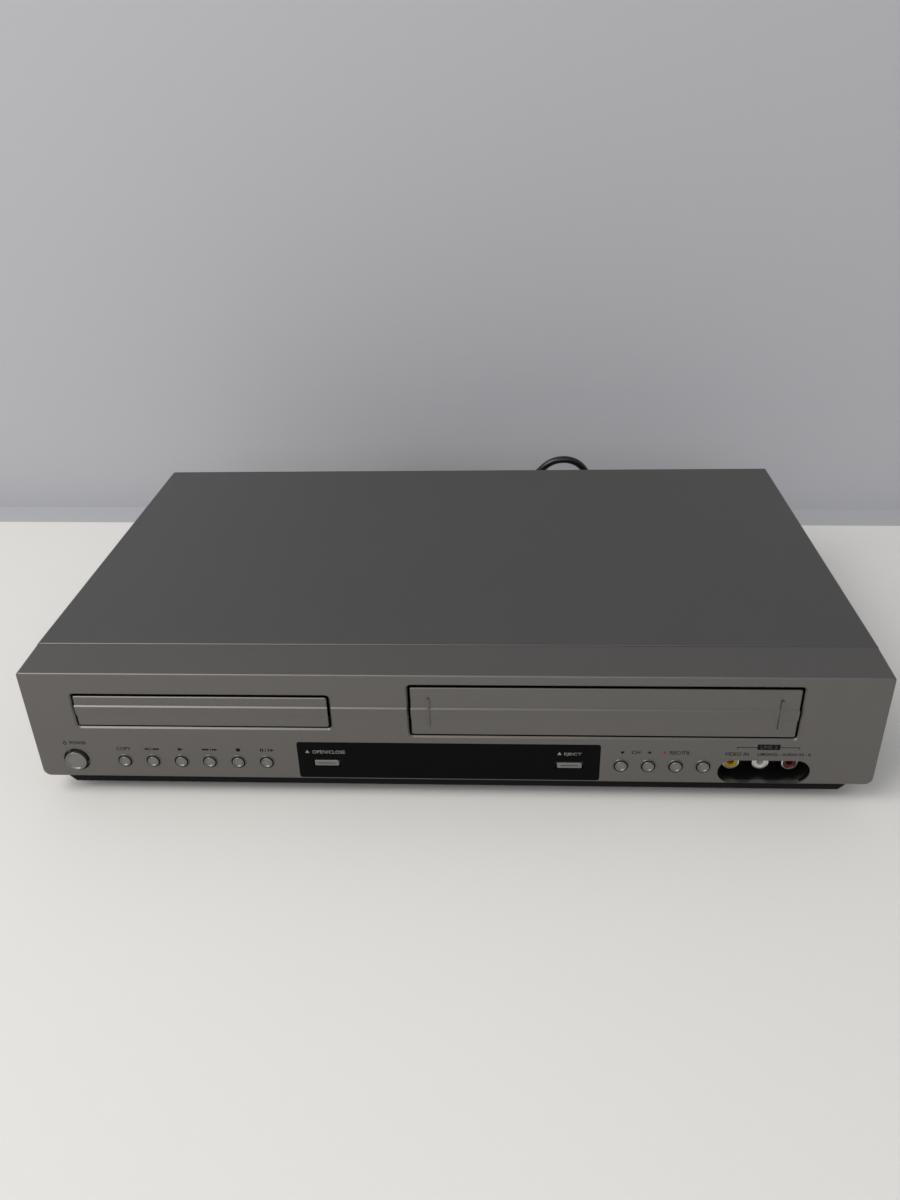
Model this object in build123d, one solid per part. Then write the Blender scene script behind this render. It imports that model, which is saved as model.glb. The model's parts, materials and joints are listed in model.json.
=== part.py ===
"""A disc player and videocassette recorder in one low cabinet, in millimetres.

+X is the viewer's right, +Y runs to the back and +Z is up.  The origin is on the floor, under the
middle of the cabinet, its front button and its aerial sockets taken into account.
"""
import os
from math import acos, cos, pi, radians, sin, tan

from build123d import *

# ---- cabinet
width = 430.0
body_depth = 265.0  # front face to the back edge of the cover
height = 78.5
foot_height = 7.0
foot_radius = 13.0
foot_inset_x = 30.0
foot_inset_y = 35.0
bezel_bottom = 12.4
bezel_depth = 26.3
bezel_wall = 2.5
bezel_drop = 0.9  # how far the bezel's top falls towards the front
bezel_corner = 4.0
corner_relief = 0.02  # keeps the trimmed foot off the surface of the rounded corner
bezel_edge = 0.9
cover_sheet = 0.8
cover_bend = 1.6
cover_joint = 0.3  # gap between bezel and cover
cover_step = 0.3  # the cover stands this much above the bezel and has a bevelled edge
cover_lip = 9.0
pan_sheet = 1.0
pan_half_width = 202.7
pan_bevel = 3.2
pan_front_lip = 4.4
pan_flange_z = 12.5
pan_side_rise = 13.5
panel_sheet = 1.2
sheet_gap = 0.2  # between sheets that lie on each other
seat_gap = 0.3  # between a piece and the seat that it rests on
run_gap = 0.05  # radial clearance of a shaft in its bore
standoff_height = 6.0
standoff_radius = 3.5
board_sheet = 1.6

# ---- buttons and what they press
button_z = 23.1
button_radius = 2.95
button_gap = 0.7
button_proud = 1.0
button_collar = 0.3  # width of the raised ring round a small button
button_collar_proud = 0.35
button_rim = 0.55  # width of the rim round the dish in a small cap
button_flange = 1.3
button_travel = 0.8
power_x = -194.8
power_z = 23.5
power_radius = 5.55
power_gap = 1.1
power_proud = 1.8
power_rim = 0.8
left_buttons = ("copy_button", "rewind_button", "play_button", "forward_button", "stop_button",
                "pause_button")
left_button_x = -169.0
left_button_pitch = 15.0
right_buttons = ("channel_down_button", "channel_up_button", "record_button", "source_button")
right_button_x = 88.0
right_button_pitch = 13.77
bar_button_width = 12.6
bar_button_height = 3.4
bar_button_gap = 0.8
bar_groove_width = 8.6
bar_groove_height = 0.5
bar_groove_depth = 0.4
dish_depth = 0.45
open_x = -62.6
eject_x = 62.0
switch_depth = 5.0  # front board to the tip of a switch
switch_size = 6.0
front_board_y = 14.0  # behind the front face
front_board_height = 18.0

# ---- display window
window_half_width = 77.5
window_bottom = 13.3
window_top = 36.2
window_sheet = 1.8
window_land = 2.5
window_gap = 0.15

# ---- disc opening and disc tray
disc_open_left = -190.0
disc_open_right = -58.5
disc_open_bottom = 44.6
disc_open_top = 64.6
opening_corner = 1.8
opening_chamfer = 0.8
fascia_gap = 1.1
fascia_sheet = 3.0
band_bottom = 52.1
band_top = 58.2
band_proud_top = 0.65
band_proud_bottom = 0.25
tray_half_width = 63.5
tray_length = 147.0
tray_arm_length = 30.0
tray_top = 57.5
tray_bottom = 51.3
tray_travel = 135.0
skid_height = 3.8
skid_width = 3.0
disc_y = 72.0  # behind the front face
disc_radius = 60.0
disc_recess = 3.9
small_disc_radius = 40.0
small_disc_step = 0.7
disc_play = 0.5
tray_slot = 34.0
rack_module = 1.5
rack_gear_teeth = 18
drive_module = 1.0
drive_gear_teeth = 32
motor_gear_teeth = 16
backlash = 0.22
addendum = 0.9  # in modules
dedendum = 1.25
tray_gear_y = 34.0
rack_gear_sheet = 3.0
drive_gear_sheet = 3.0
axle_radius = 2.0
tray_motor_radius = 12.0
tray_motor_length = 13.0
motor_shaft_radius = 1.0

# ---- disc loader frame and its lifting deck
loader_half_width = 69.0
loader_wall = 2.5
loader_floor = 34.0
loader_sheet = 2.0
loader_front = 6.0
loader_length = 182.0
loader_top = 62.0
bridge_sheet = 1.6
bridge_half_length = 20.0
leg_radius = 4.0
screw_radius = 1.45
screw_hole = 1.5
screw_head_radius = 3.0
screw_head_height = 1.8
lift_travel = 3.5
lift_half_width = 50.0
lift_front = 54.0
lift_length = 120.0
lift_sheet = 1.5
lift_pin_radius = 1.8
spindle_motor_radius = 12.0
spindle_motor_height = 10.7
turntable_radius = 14.0
turntable_height = 2.5
hub_radius = 7.3
hub_height = 1.3
spindle_radius = 1.2
rod_radius = 1.5
rod_half_gap = 22.0
rod_lift = 5.2
sled_travel = 34.0
sled_length = 22.0
lens_from_disc_centre = 24.0
lens_radius = 3.5
clamp_radius = 15.0
clamp_neck = 12.0
clamp_hole = 13.0
clamp_thickness = 3.0
clamp_flange = 16.0

# ---- cassette opening and door
tape_open_left = -18.9
tape_open_right = 173.5
tape_open_bottom = 40.6
tape_open_top = 71.2
door_gap = 1.2
door_sheet = 2.0
door_rib_width = 1.2
door_rib_height = 17.0
door_rib_proud = 1.1
door_rib_inset = 9.4
door_rib_z = 55.4
door_axis_y = 4.2  # behind the front face
door_axis_z = 72.4
door_pin_radius = 1.0
door_ear = 3.0
door_ear_radius = 1.5
door_pin_length = 5.6
door_lug = 3.0
spring_wire = 0.35
spring_turns = 3
spring_pitch = 0.62

# ---- cassette deck
deck_half_width = 106.5
deck_front = 40.0
deck_length = 164.0
deck_floor = 19.0
deck_sheet = 1.5
deck_leg_inset = 4.0
cassette_width = 187.0
cassette_height = 25.0
cassette_play = 0.75
cassette_bottom = 41.8
basket_sheet = 1.2
basket_front = 37.0
basket_length = 40.0
basket_ledge = 19.0
basket_gap = 0.45
basket_drop = 18.0
basket_travel = 55.0
carriage_sheet = 1.2
frame_sheet = 1.5
slot_play = 0.15
guide_pin_radius = 1.5
carriage_pin_z = 60.0
basket_pin_z = 50.0
reel_spacing = 92.0
reel_y = 68.0
reel_radius = 17.0
reel_spindle_radius = 7.5
reel_spindle_height = 13.0
drum_offset_x = -12.0
drum_y = 170.0
drum_radius = 31.0
drum_tilt = 5.9
drum_lift = 4.0
lower_drum_height = 12.0
upper_drum_height = 13.6
drum_gap = 0.4
drum_shaft_radius = 3.0
drum_foot_radius = 22.0
capstan_offset_x = 60.0
capstan_y = 140.0
capstan_radius = 2.0
capstan_top = 50.0
bearing_height = 2.6  # under the pinch roller
flywheel_radius = 28.0
flywheel_height = 7.0
pinch_pivot_offset_x = 86.0
pinch_pivot_y = 152.0
pinch_reach = 26.06
pinch_rest_angle = 154.0
pinch_roller_radius = 8.0
pinch_roller_height = 16.0

# ---- sockets
jack_radius = 4.15
jack_wall = 0.65
jack_hole = 1.7
jack_hole_depth = 8.0
jack_play = 0.1
recess_x = 159.8
recess_z = 20.1
recess_width = 46.0
recess_height = 14.3
recess_depth = 16.0
recess_wall = 1.2
front_jack_pitch = 14.85
front_jack_face = 7.5
rear_jack_length = 8.5
rear_jack_columns = 4
rear_jack_rows = 3
rear_jack_x = -170.0
rear_jack_z = 28.0
rear_jack_pitch_x = 18.0
rear_jack_pitch_z = 14.5
jack_block_depth = 14.0
aerial_xs = (-80.0, -58.0)
aerial_z = 36.0
aerial_radius = 4.7
aerial_step = 0.3  # the barrel is this much slimmer inside the panel
aerial_reach = 9.0  # beyond the back edge of the cover
tuner_half_width = 22.0
tuner_gap = 16.7  # between the disc loader and the tuner
tuner_height = 34.0

# ---- mains lead
lead_diameter = 5.4
lead_x = 92.0
lead_z = 18.0
gland_length = 20.0
gland_flange = 8.0
gland_neck = 5.4
coil_radius = 40.0
coil_pitch = 5.9
coil_layer = 5.9
coil_half_turns = 6  # in each layer
coil_x = -40.0
coil_y = 55.0  # behind the back edge of the cover
coil_tail = 30.0
plug_length = 32.0
plug_width = 22.0
blade_length = 17.0
blade_height = 6.4
blade_sheet = 1.5
blade_spacing = 12.7

overall_depth = power_proud + body_depth + aerial_reach
front = power_proud - overall_depth / 2
back = front + body_depth
side = width / 2
pan_floor = foot_height + pan_sheet
panel_face = back - cover_sheet - sheet_gap
panel_back = panel_face - panel_sheet
board_bottom = pan_floor + standoff_height
board_top = board_bottom + board_sheet
board_sink = 0.1  # overlap that joins a component to its board
disc_x = (disc_open_left + disc_open_right) / 2
tape_x = (tape_open_left + tape_open_right) / 2
deck_top = deck_floor + deck_sheet


# ---- shapes
def block(x0, x1, y0, y1, z0, z1):
    """A box between two corners, given in either order along X."""
    centre = Pos((x0 + x1) / 2, (y0 + y1) / 2, (z0 + z1) / 2)
    return centre * Box(abs(x1 - x0), y1 - y0, z1 - z0)


def post(x, y, z0, z1, radius):
    """An upright cylinder."""
    return Pos(x, y, (z0 + z1) / 2) * Cylinder(radius, z1 - z0)


def barrel(x, z, y0, y1, radius):
    """A cylinder along Y."""
    return Pos(x, (y0 + y1) / 2, z) * Rot(90, 0, 0) * Cylinder(radius, y1 - y0)


def bar(y, z, x0, x1, radius):
    """A cylinder along X."""
    return Pos((x0 + x1) / 2, y, z) * Rot(0, 90, 0) * Cylinder(radius, abs(x1 - x0))


def slab_y(sketch, y0, y1, taper=0.0):
    """A sketch drawn in X and Z, run back from y0 to y1."""
    plane = Plane(origin=(0, y0, 0), x_dir=(1, 0, 0), z_dir=(0, -1, 0))
    return extrude(plane * sketch, amount=-(y1 - y0), taper=taper)


def prism_x(points, x0, x1):
    """An outline of (y, z) points, run along X."""
    outline = make_face(Polyline(*points, close=True))
    return extrude(Plane.YZ.offset(x0) * outline, amount=x1 - x0)


def slot_y(x, z, y0, y1, width_x, height_z):
    """A slot with round ends, wider than it is high, through a wall that faces front."""
    return slab_y(Pos(x, z) * SlotOverall(width_x, height_z), y0, y1)


def rounded(x0, x1, z0, z1, radius):
    """A rounded rectangle in X and Z."""
    return Pos((x0 + x1) / 2, (z0 + z1) / 2) * RectangleRounded(x1 - x0, z1 - z0, radius)


def front_opening(x0, x1, z0, z1):
    """The cutter of a rounded opening in the bezel, with its edge broken at the face."""
    hole = slab_y(rounded(x0, x1, z0, z1, opening_corner), front - 1, front + bezel_wall + 1)
    mouth = rounded(x0 - opening_chamfer, x1 + opening_chamfer, z0 - opening_chamfer,
                    z1 + opening_chamfer, opening_corner + opening_chamfer)
    return hole + slab_y(mouth, front, front + opening_chamfer, taper=45)


def joined(parts):
    """Several touching parts as one."""
    whole = parts[0]
    for part in parts[1:]:
        whole += part
    return whole


def group(parts):
    """Several separate solids in one node."""
    return Compound(children=[solid for part in parts for solid in part.solids()])


def save(name, shape):
    """Write one node."""
    export_step(shape, f"parts/{name}.step")


# ---- places that several pieces share
def button_places():
    """Name, x and z of each small round button."""
    left = [(name, left_button_x + i * left_button_pitch) for i, name in enumerate(left_buttons)]
    right = [(name, right_button_x + i * right_button_pitch) for i, name in enumerate(right_buttons)]
    return [(name, x, button_z) for name, x in left + right]


def loader_leg_places():
    """Where the disc loader's four legs stand."""
    leg_x = loader_half_width - leg_radius - 2.5
    ys = (front + loader_front + 18, front + loader_front + loader_length - leg_radius - 4)
    return [(disc_x + s * leg_x, y) for s in (-1, 1) for y in ys]


def deck_leg_places():
    """Where the cassette deck's four legs stand."""
    leg_x = deck_half_width - deck_leg_inset
    ys = (front + deck_front + deck_leg_inset, front + deck_front + deck_length - deck_leg_inset)
    return [(tape_x + s * leg_x, y) for s in (-1, 1) for y in ys]


main_board_box = (-206.0, -34.0, front + 52.0, panel_back - 4.0)
power_board_box = (-24.0, 204.0, front + deck_front + deck_length + 4.0, panel_back - 5.0)


def board_screw_places(box):
    """Four screws, in from the corners of a board."""
    x0, x1, y0, y1 = box
    inset = 6.0
    return [(x, y) for x in (x0 + inset, x1 - inset) for y in (y0 + inset, y1 - inset)]


def rear_screw_places():
    """Screws of the rear panel: three under the cover's lip and two at the foot."""
    lip_z = height - cover_lip / 2
    foot_z = pan_floor + 4
    lip = [(x, lip_z) for x in (-185.0, 0.0, 185.0)]
    return lip + [(x, foot_z) for x in (-150.0, 150.0)]


def rear_jack_places():
    """Centres of the sockets in the rear panel."""
    return [(rear_jack_x + i * rear_jack_pitch_x, rear_jack_z + j * rear_jack_pitch_z)
            for i in range(rear_jack_columns) for j in range(rear_jack_rows)]


def front_jack_xs():
    """The three sockets in the front recess."""
    return [recess_x + i * front_jack_pitch for i in (-1, 0, 1)]


# ---- cabinet
def bezel_outline(wall=0.0):
    """Side view of the bezel, drawn in by a wall."""
    top_back = height - cover_step
    top_front = top_back - bezel_drop
    slope = bezel_drop / bezel_depth
    return ((front + wall, bezel_bottom - (1 if wall else 0)),
            (front + wall, top_front + slope * wall - wall),
            (front + bezel_depth + (1 if wall else 0), top_back + (slope if wall else 0) - wall),
            (front + bezel_depth + (1 if wall else 0), bezel_bottom - (1 if wall else 0)))


def bezel_shell():
    """The moulded front with its returns, before its openings are cut."""
    shell = prism_x(bezel_outline(), -side, side)
    low = shell.edges().filter_by(Axis.Y).sort_by(Axis.Z)[:2]
    shell = fillet(low, bezel_corner)
    high = shell.edges().sort_by(Axis.Z)[-3:-1]
    shell = fillet(high, cover_bend)
    face = shell.faces().sort_by(Axis.Y)[0]
    shell = fillet(face.edges(), bezel_edge)
    shell -= prism_x(bezel_outline(bezel_wall), -side + bezel_wall, side - bezel_wall)
    corner_x = pan_half_width + 1.3
    floor_top = bezel_bottom + bezel_wall
    for s in (-1, 1):
        foot = block(s * corner_x, s * (side - bezel_wall / 2), front + bezel_wall / 2,
                     front + bezel_depth, bezel_bottom, floor_top)
        shell += foot
        trim = block(s * (side - bezel_corner), s * (side + 1), front - 1, front + bezel_depth + 1,
                     bezel_bottom - 1, bezel_bottom + bezel_corner)
        round_off = barrel(s * (side - bezel_corner), bezel_bottom + bezel_corner, front - 1,
                           front + bezel_depth + 1, bezel_corner + corner_relief)
        shell -= trim - round_off
    return shell


def bezel_tongue():
    """The thin lip that the cover slides over."""
    outer_x = side - cover_sheet - seat_gap
    outer_z = height - cover_sheet - seat_gap
    y0 = front + bezel_depth - 3
    y1 = front + bezel_depth + 5
    lip = 1.4
    tongue = block(-outer_x, outer_x, y0, y1, bezel_bottom + bezel_wall, outer_z)
    inner = block(-outer_x + lip, outer_x - lip, y0 - 1, y1 + 1, bezel_bottom, outer_z - lip)
    return tongue - inner


def band(x0, x1):
    """The raised band across the openings, prouder at the top, where it is bevelled."""
    points = ((front + 0.3, band_bottom), (front - band_proud_bottom, band_bottom),
              (front - band_proud_top, band_top - band_proud_top), (front, band_top),
              (front + 0.3, band_top))
    return prism_x(points, x0, x1)


def door_lugs():
    """Bearings of the cassette door, inside the bezel beside its opening."""
    lugs = []
    top = height - bezel_wall - 0.3
    for s, edge in ((-1, tape_open_left), (1, tape_open_right)):
        x0 = edge - s * door_gap + s * (door_pin_length - door_lug)
        x1 = x0 + s * door_lug
        arm = block(x0, x1, front + bezel_wall - 0.5, front + door_axis_y + 3,
                    door_axis_z - 2.6, top)
        lugs.append(arm - bar(front + door_axis_y, door_axis_z, x0 - s, x1 + s,
                              door_pin_radius + run_gap))
    return lugs


def front_bezel():
    """The silver front: its openings, its window pocket and its button holes."""
    bezel = bezel_shell() + bezel_tongue()
    bezel += band(disc_open_right + opening_chamfer, tape_open_left - opening_chamfer)
    bezel -= front_opening(disc_open_left, disc_open_right, disc_open_bottom, disc_open_top)
    bezel -= front_opening(tape_open_left, tape_open_right, tape_open_bottom, tape_open_top)
    pocket = rounded(-window_half_width, window_half_width, window_bottom, window_top, 1.5)
    bezel -= slab_y(pocket, front - 1, front + window_sheet)
    clear = rounded(-window_half_width + window_land, window_half_width - window_land,
                    window_bottom + window_land, window_top - window_land, 1.5)
    bezel -= slab_y(clear, front - 1, front + bezel_wall + 1)
    for _, x, z in button_places():
        collar_radius = button_radius + button_gap + button_collar
        cone = Cone(collar_radius + button_collar_proud, collar_radius, button_collar_proud + 0.3)
        bezel += Pos(x, front + 0.15 - button_collar_proud / 2, z) * Rot(90, 0, 0) * cone
        bezel -= barrel(x, z, front - 1, front + bezel_wall + 1, button_radius + button_gap)
    bezel -= round_hole(power_x, power_z, power_radius + power_gap, 0.3)
    bezel -= slot_y(recess_x, recess_z, front - 1, front + bezel_wall + 1, recess_width,
                    recess_height)
    for lug in door_lugs():
        bezel += lug
    return bezel


def round_hole(x, z, radius, chamfer_size):
    """The cutter of a round hole in the bezel, with its edge broken at the face."""
    hole = barrel(x, z, front - 1, front + bezel_wall + 1, radius)
    cone = Pos(x, front + chamfer_size / 2, z) * Rot(90, 0, 0)
    return hole + cone * Cone(radius, radius + chamfer_size, chamfer_size)


def display_window():
    """The glossy dark window, with a slot for each of its two bar buttons."""
    gap = window_gap
    plate = rounded(-window_half_width + gap, window_half_width - gap, window_bottom + gap,
                    window_top - gap, 1.5 - gap)
    window = slab_y(plate, front, front + window_sheet)
    for x in (open_x, eject_x):
        slot = RectangleRounded(bar_button_width + 2 * bar_button_gap,
                                bar_button_height + 2 * bar_button_gap, 1.0)
        window -= slab_y(Pos(x, button_z) * slot, front - 1, front + window_sheet + 1)
    return window


def top_cover():
    """The folded sheet cover: top, two sides and a short lip down the back."""
    y0 = front + bezel_depth + cover_joint
    outer = block(-side, side, y0, back, bezel_bottom, height)
    bends = outer.edges().filter_by(Axis.Y).sort_by(Axis.Z)[-2:]
    outer = fillet(bends, cover_bend)
    inner = block(-side + cover_sheet, side - cover_sheet, y0 - 1, back - cover_sheet,
                  bezel_bottom - 1, height - cover_sheet)
    inner_bends = inner.edges().filter_by(Axis.Y).sort_by(Axis.Z)[-2:]
    cover = outer - fillet(inner_bends, cover_bend - cover_sheet)
    bevel = ((y0 - 1, height - cover_step - 1), (y0 + cover_step + 1, height + 1), (y0 - 1, height + 1))
    cover -= prism_x(bevel, -side - 1, side + 1)
    cover -= block(-side + 6, side - 6, back - cover_sheet - 1, back + 1, bezel_bottom - 1,
                   height - cover_lip)
    for x, z in rear_screw_places():
        if z > height - cover_lip:
            cover -= barrel(x, z, back - cover_sheet - 1, back + 1, screw_hole)
    return cover


def pan_trough():
    """The sunk middle of the base pan, its long lower edges bevelled."""
    y0 = front + bezel_wall + seat_gap
    y1 = panel_back - sheet_gap
    half = pan_half_width
    low = foot_height
    outline = ((-half + pan_bevel, low), (half - pan_bevel, low), (half, low + pan_bevel),
               (half, pan_flange_z + pan_sheet), (-half, pan_flange_z + pan_sheet),
               (-half, low + pan_bevel))
    hollow = ((-half + pan_bevel + pan_sheet, low + pan_sheet),
              (half - pan_bevel - pan_sheet, low + pan_sheet),
              (half - pan_sheet, low + pan_bevel + pan_sheet / 2),
              (half - pan_sheet, pan_flange_z + 5), (-half + pan_sheet, pan_flange_z + 5),
              (-half + pan_sheet, low + pan_bevel + pan_sheet / 2))
    trough = slab_y(make_face(Polyline(*outline, close=True)), y0, y1)
    trough -= slab_y(make_face(Polyline(*hollow, close=True)), y0 + pan_sheet, y1 - pan_sheet)
    trough -= block(-side, side, y0 - 1, y0 + 2 * pan_sheet, low + pan_front_lip, height)
    trough -= block(-side, side, y0 - 1, front + bezel_depth + 8, low + pan_front_lip, height)
    return trough


def bottom_pan():
    """The steel base pan with its side flanges, rear lip and board standoffs."""
    pan = pan_trough()
    y0 = front + bezel_depth + 8
    y1 = panel_back - sheet_gap
    rim = side - cover_sheet - seat_gap
    for s in (-1, 1):
        pan += block(s * (pan_half_width - pan_sheet), s * rim, y0, y1, pan_flange_z,
                     pan_flange_z + pan_sheet)
        pan += block(s * (rim - pan_sheet), s * rim, y0, y1, pan_flange_z,
                     pan_flange_z + pan_side_rise)
    pan += block(-pan_half_width + 4, pan_half_width - 4, y1 - pan_sheet, y1, pan_floor,
                 board_top - seat_gap)
    pan -= block(lead_x - gland_flange - 1, lead_x + gland_flange + 1, y1 - 2 * pan_sheet, y1 + 1,
                 pan_floor, height)
    for box in (main_board_box, power_board_box):
        for x, y in board_screw_places(box):
            pan += post(x, y, pan_floor - pan_sheet / 2, board_bottom, standoff_radius)
            pan -= post(x, y, pan_floor, board_bottom + 1, screw_hole)
    for x, z in rear_screw_places():
        pan -= barrel(x, z, y1 - 2 * pan_sheet, y1 + 1, screw_hole)
    for i in range(8):
        for s in (-1, 1):
            vent = Pos(s * 120 + (i - 3.5) * 9, front + 150) * SlotOverall(40, 3, rotation=90)
            pan -= extrude(Plane.XY.offset(foot_height - 1) * vent, amount=pan_sheet + 1.5)
    return pan


def rear_panel():
    """The back sheet, pierced for the sockets, the lead and its own screws."""
    panel = block(-side + cover_sheet + seat_gap, side - cover_sheet - seat_gap, panel_back,
                  panel_face, foot_height, height - cover_sheet - seat_gap)
    for x, z in rear_jack_places():
        panel -= barrel(x, z, panel_back - 1, panel_face + 1, jack_radius + 0.4)
    for x in aerial_xs:
        panel -= barrel(x, aerial_z, panel_back - 1, panel_face + 1, aerial_radius + 0.5)
    panel -= barrel(lead_x, lead_z, panel_back - 1, panel_face + 1, gland_neck)
    for x, z in rear_screw_places():
        panel -= barrel(x, z, panel_back - 1, panel_face + 1, screw_hole)
    for i in range(12):
        vent = RectangleRounded(3, 24, 1.4)
        panel -= slab_y(Pos(20 + i * 7, 50) * vent, panel_back - 1, panel_face + 1)
    return panel


def feet():
    """Four round feet under the pan."""
    xs = (-side + foot_inset_x, side - foot_inset_x)
    ys = (front + foot_inset_y, back - foot_inset_y)
    found = []
    for x in xs:
        for y in ys:
            foot = post(x, y, 0, foot_height, foot_radius)
            found.append(chamfer(foot.edges().sort_by(Axis.Z)[:1], 1.2))
    return group(found)


def screw(x, y, z, direction, length):
    """A pan-head screw whose head sits on z, or on y, and whose shank runs in."""
    if direction == "down":
        head = post(x, y, z, z + screw_head_height, screw_head_radius)
        return head + post(x, y, z - length, z, screw_radius)
    head = barrel(x, z, y, y + screw_head_height, screw_head_radius)
    return head + barrel(x, z, y - length, y, screw_radius)


def case_screws():
    """Screws in the back of the cabinet."""
    screws = []
    for x, z in rear_screw_places():
        seat = back if z > height - cover_lip else panel_face
        screws.append(screw(x, seat, z, "in", 5.0))
    return group(screws)


def mech_screws():
    """Screws that hold the boards, the disc loader and the cassette deck."""
    screws = []
    for box in (main_board_box, power_board_box):
        screws += [screw(x, y, board_top, "down", 5.0) for x, y in board_screw_places(box)]
    for x, y in loader_leg_places():
        screws.append(screw(x, y, loader_floor + loader_sheet, "down", 12.0))
    for x, y in deck_leg_places():
        screws.append(screw(x, y, deck_top, "down", 8.0))
    return group(screws)


# ---- buttons and front board
def button_stem(x, z, y0):
    """The rod behind a button that reaches almost to its switch."""
    tip = front + front_board_y - switch_depth - button_travel - 0.1
    return barrel(x, z, y0, tip, 1.5)


def round_button(x, z, radius, proud, rim):
    """A round cap with a dished face, a flange behind the bezel and a stem."""
    flange_y = front + bezel_wall + seat_gap
    cap = barrel(x, z, front - proud, flange_y, radius)
    cap = fillet(cap.edges().sort_by(Axis.Y)[:1], 0.35)
    floor_radius = radius - rim - dish_depth
    dish = Cone(floor_radius, floor_radius + dish_depth, dish_depth)
    cap -= Pos(x, front - proud + dish_depth / 2, z) * Rot(90, 0, 0) * dish
    cap += barrel(x, z, flange_y, flange_y + 1.2, radius + button_flange)
    return cap + button_stem(x, z, flange_y + 1.0)


def bar_button(x):
    """A narrow cap in the display window."""
    flange_y = front + bezel_wall + seat_gap
    face = RectangleRounded(bar_button_width, bar_button_height, 0.6)
    cap = slab_y(Pos(x, button_z) * face, front - 0.4, flange_y)
    cap = fillet(cap.faces().sort_by(Axis.Y)[0].edges(), 0.3)
    cap -= block(x - bar_groove_width / 2, x + bar_groove_width / 2, front - 1,
                 front - 0.4 + bar_groove_depth, button_z - bar_groove_height / 2,
                 button_z + bar_groove_height / 2)
    flange = RectangleRounded(bar_button_width + 4, bar_button_height + 4, 1.0)
    cap += slab_y(Pos(x, button_z) * flange, flange_y, flange_y + 1.2)
    return cap + button_stem(x, button_z, flange_y + 1.0)


def front_board():
    """The upright board behind the buttons, its switches and the display tube."""
    y0 = front + front_board_y
    z0 = bezel_bottom + bezel_wall + 0.4
    board = block(power_x - 9, right_button_x + 3 * right_button_pitch + 5, y0, y0 + board_sheet, z0,
                  z0 + front_board_height)
    places = [(x, z) for _, x, z in button_places()]
    places += [(power_x, power_z), (open_x, button_z), (eject_x, button_z)]
    half = switch_size / 2
    for x, z in places:
        board += block(x - half, x + half, y0 - 3.5, y0, z - half, z + half)
        board += barrel(x, z, y0 - switch_depth, y0 - 3.5, 1.7)
    board += block(-44, 44, y0 - 8, y0, 17.5, 32.5)
    for x in (-140, 0, 40):
        board += block(x - 8, x + 8, y0 + board_sheet, y0 + board_sheet + 2.2, 20, 28)
    return board


# ---- gears
def involute(angle):
    """The involute function."""
    return tan(angle) - angle


def gear_outline(module, teeth, phase):
    """Points round an involute gear whose first tooth is centred on the phase angle."""
    pressure = radians(20)
    pitch_r = module * teeth / 2
    base_r = pitch_r * cos(pressure)
    tip_r = pitch_r + addendum * module
    root_r = pitch_r - dedendum * module
    half_pitch = (pi * module / 2 - backlash / 2) / (2 * pitch_r)
    start_r = max(base_r, root_r)
    radii = [start_r + (tip_r - start_r) * i / 4 for i in range(5)]
    flank = [(r, half_pitch + involute(pressure) - involute(acos(base_r / r))) for r in radii]
    flank.insert(0, (root_r, flank[0][1]))
    points = []
    for tooth in range(teeth):
        centre = phase + 2 * pi * tooth / teeth
        for r, half in flank:
            points.append((r * cos(centre - half), r * sin(centre - half)))
        for r, half in reversed(flank):
            points.append((r * cos(centre + half), r * sin(centre + half)))
    return points


def gear(x, y, z0, z1, module, teeth, phase):
    """A spur gear on an upright axis."""
    outline = make_face(Polyline(*gear_outline(module, teeth, phase), close=True))
    return extrude(Plane.XY.offset(z0) * Pos(x, y) * outline, amount=z1 - z0)


rack_root_x = disc_x + tray_half_width - skid_width
rack_line_x = rack_root_x - dedendum * rack_module
tray_gear_x = rack_line_x - rack_module * rack_gear_teeth / 2
drive_gear_radius = drive_module * drive_gear_teeth / 2
motor_gear_radius = drive_module * motor_gear_teeth / 2
motor_x = tray_gear_x - drive_gear_radius - motor_gear_radius
skid_bottom = tray_bottom - skid_height
rack_gear_top = tray_bottom - 0.5
loader_top_of_floor = loader_floor + loader_sheet
drive_gear_bottom = loader_top_of_floor + 1.5


def rack():
    """Rack teeth on the inner side of the tray's right skid."""
    pitch = pi * rack_module
    half = (pitch / 2 - backlash / 2) / 2
    slope = tan(radians(20))
    tip_x = rack_line_x - addendum * rack_module
    tip_half = half - addendum * rack_module * slope
    root_half = half + dedendum * rack_module * slope
    first = -1
    last = int((tray_travel + 8) / pitch) + 1
    teeth = []
    for i in range(first, last + 1):
        y = front + tray_gear_y + i * pitch
        points = ((rack_root_x + 0.2, y - root_half), (rack_root_x, y - root_half),
                  (tip_x, y - tip_half), (tip_x, y + tip_half), (rack_root_x, y + root_half),
                  (rack_root_x + 0.2, y + root_half))
        outline = make_face(Polyline(*points, close=True))
        teeth.append(extrude(Plane.XY.offset(skid_bottom) * outline, amount=skid_height + 0.2))
    return teeth


def tray_gear():
    """The stepped gear that drives the tray's rack."""
    y = front + tray_gear_y
    step_z = drive_gear_bottom + drive_gear_sheet
    top_z = rack_gear_top
    drive_phase = pi + pi / drive_gear_teeth
    wheel = gear(tray_gear_x, y, drive_gear_bottom, step_z, drive_module, drive_gear_teeth,
                 drive_phase)
    wheel += post(tray_gear_x, y, step_z, top_z - rack_gear_sheet, 5.0)
    wheel += gear(tray_gear_x, y, top_z - rack_gear_sheet, top_z, rack_module, rack_gear_teeth,
                  pi / rack_gear_teeth)
    return wheel - post(tray_gear_x, y, drive_gear_bottom - 1, top_z + 1, axle_radius + run_gap)


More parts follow.
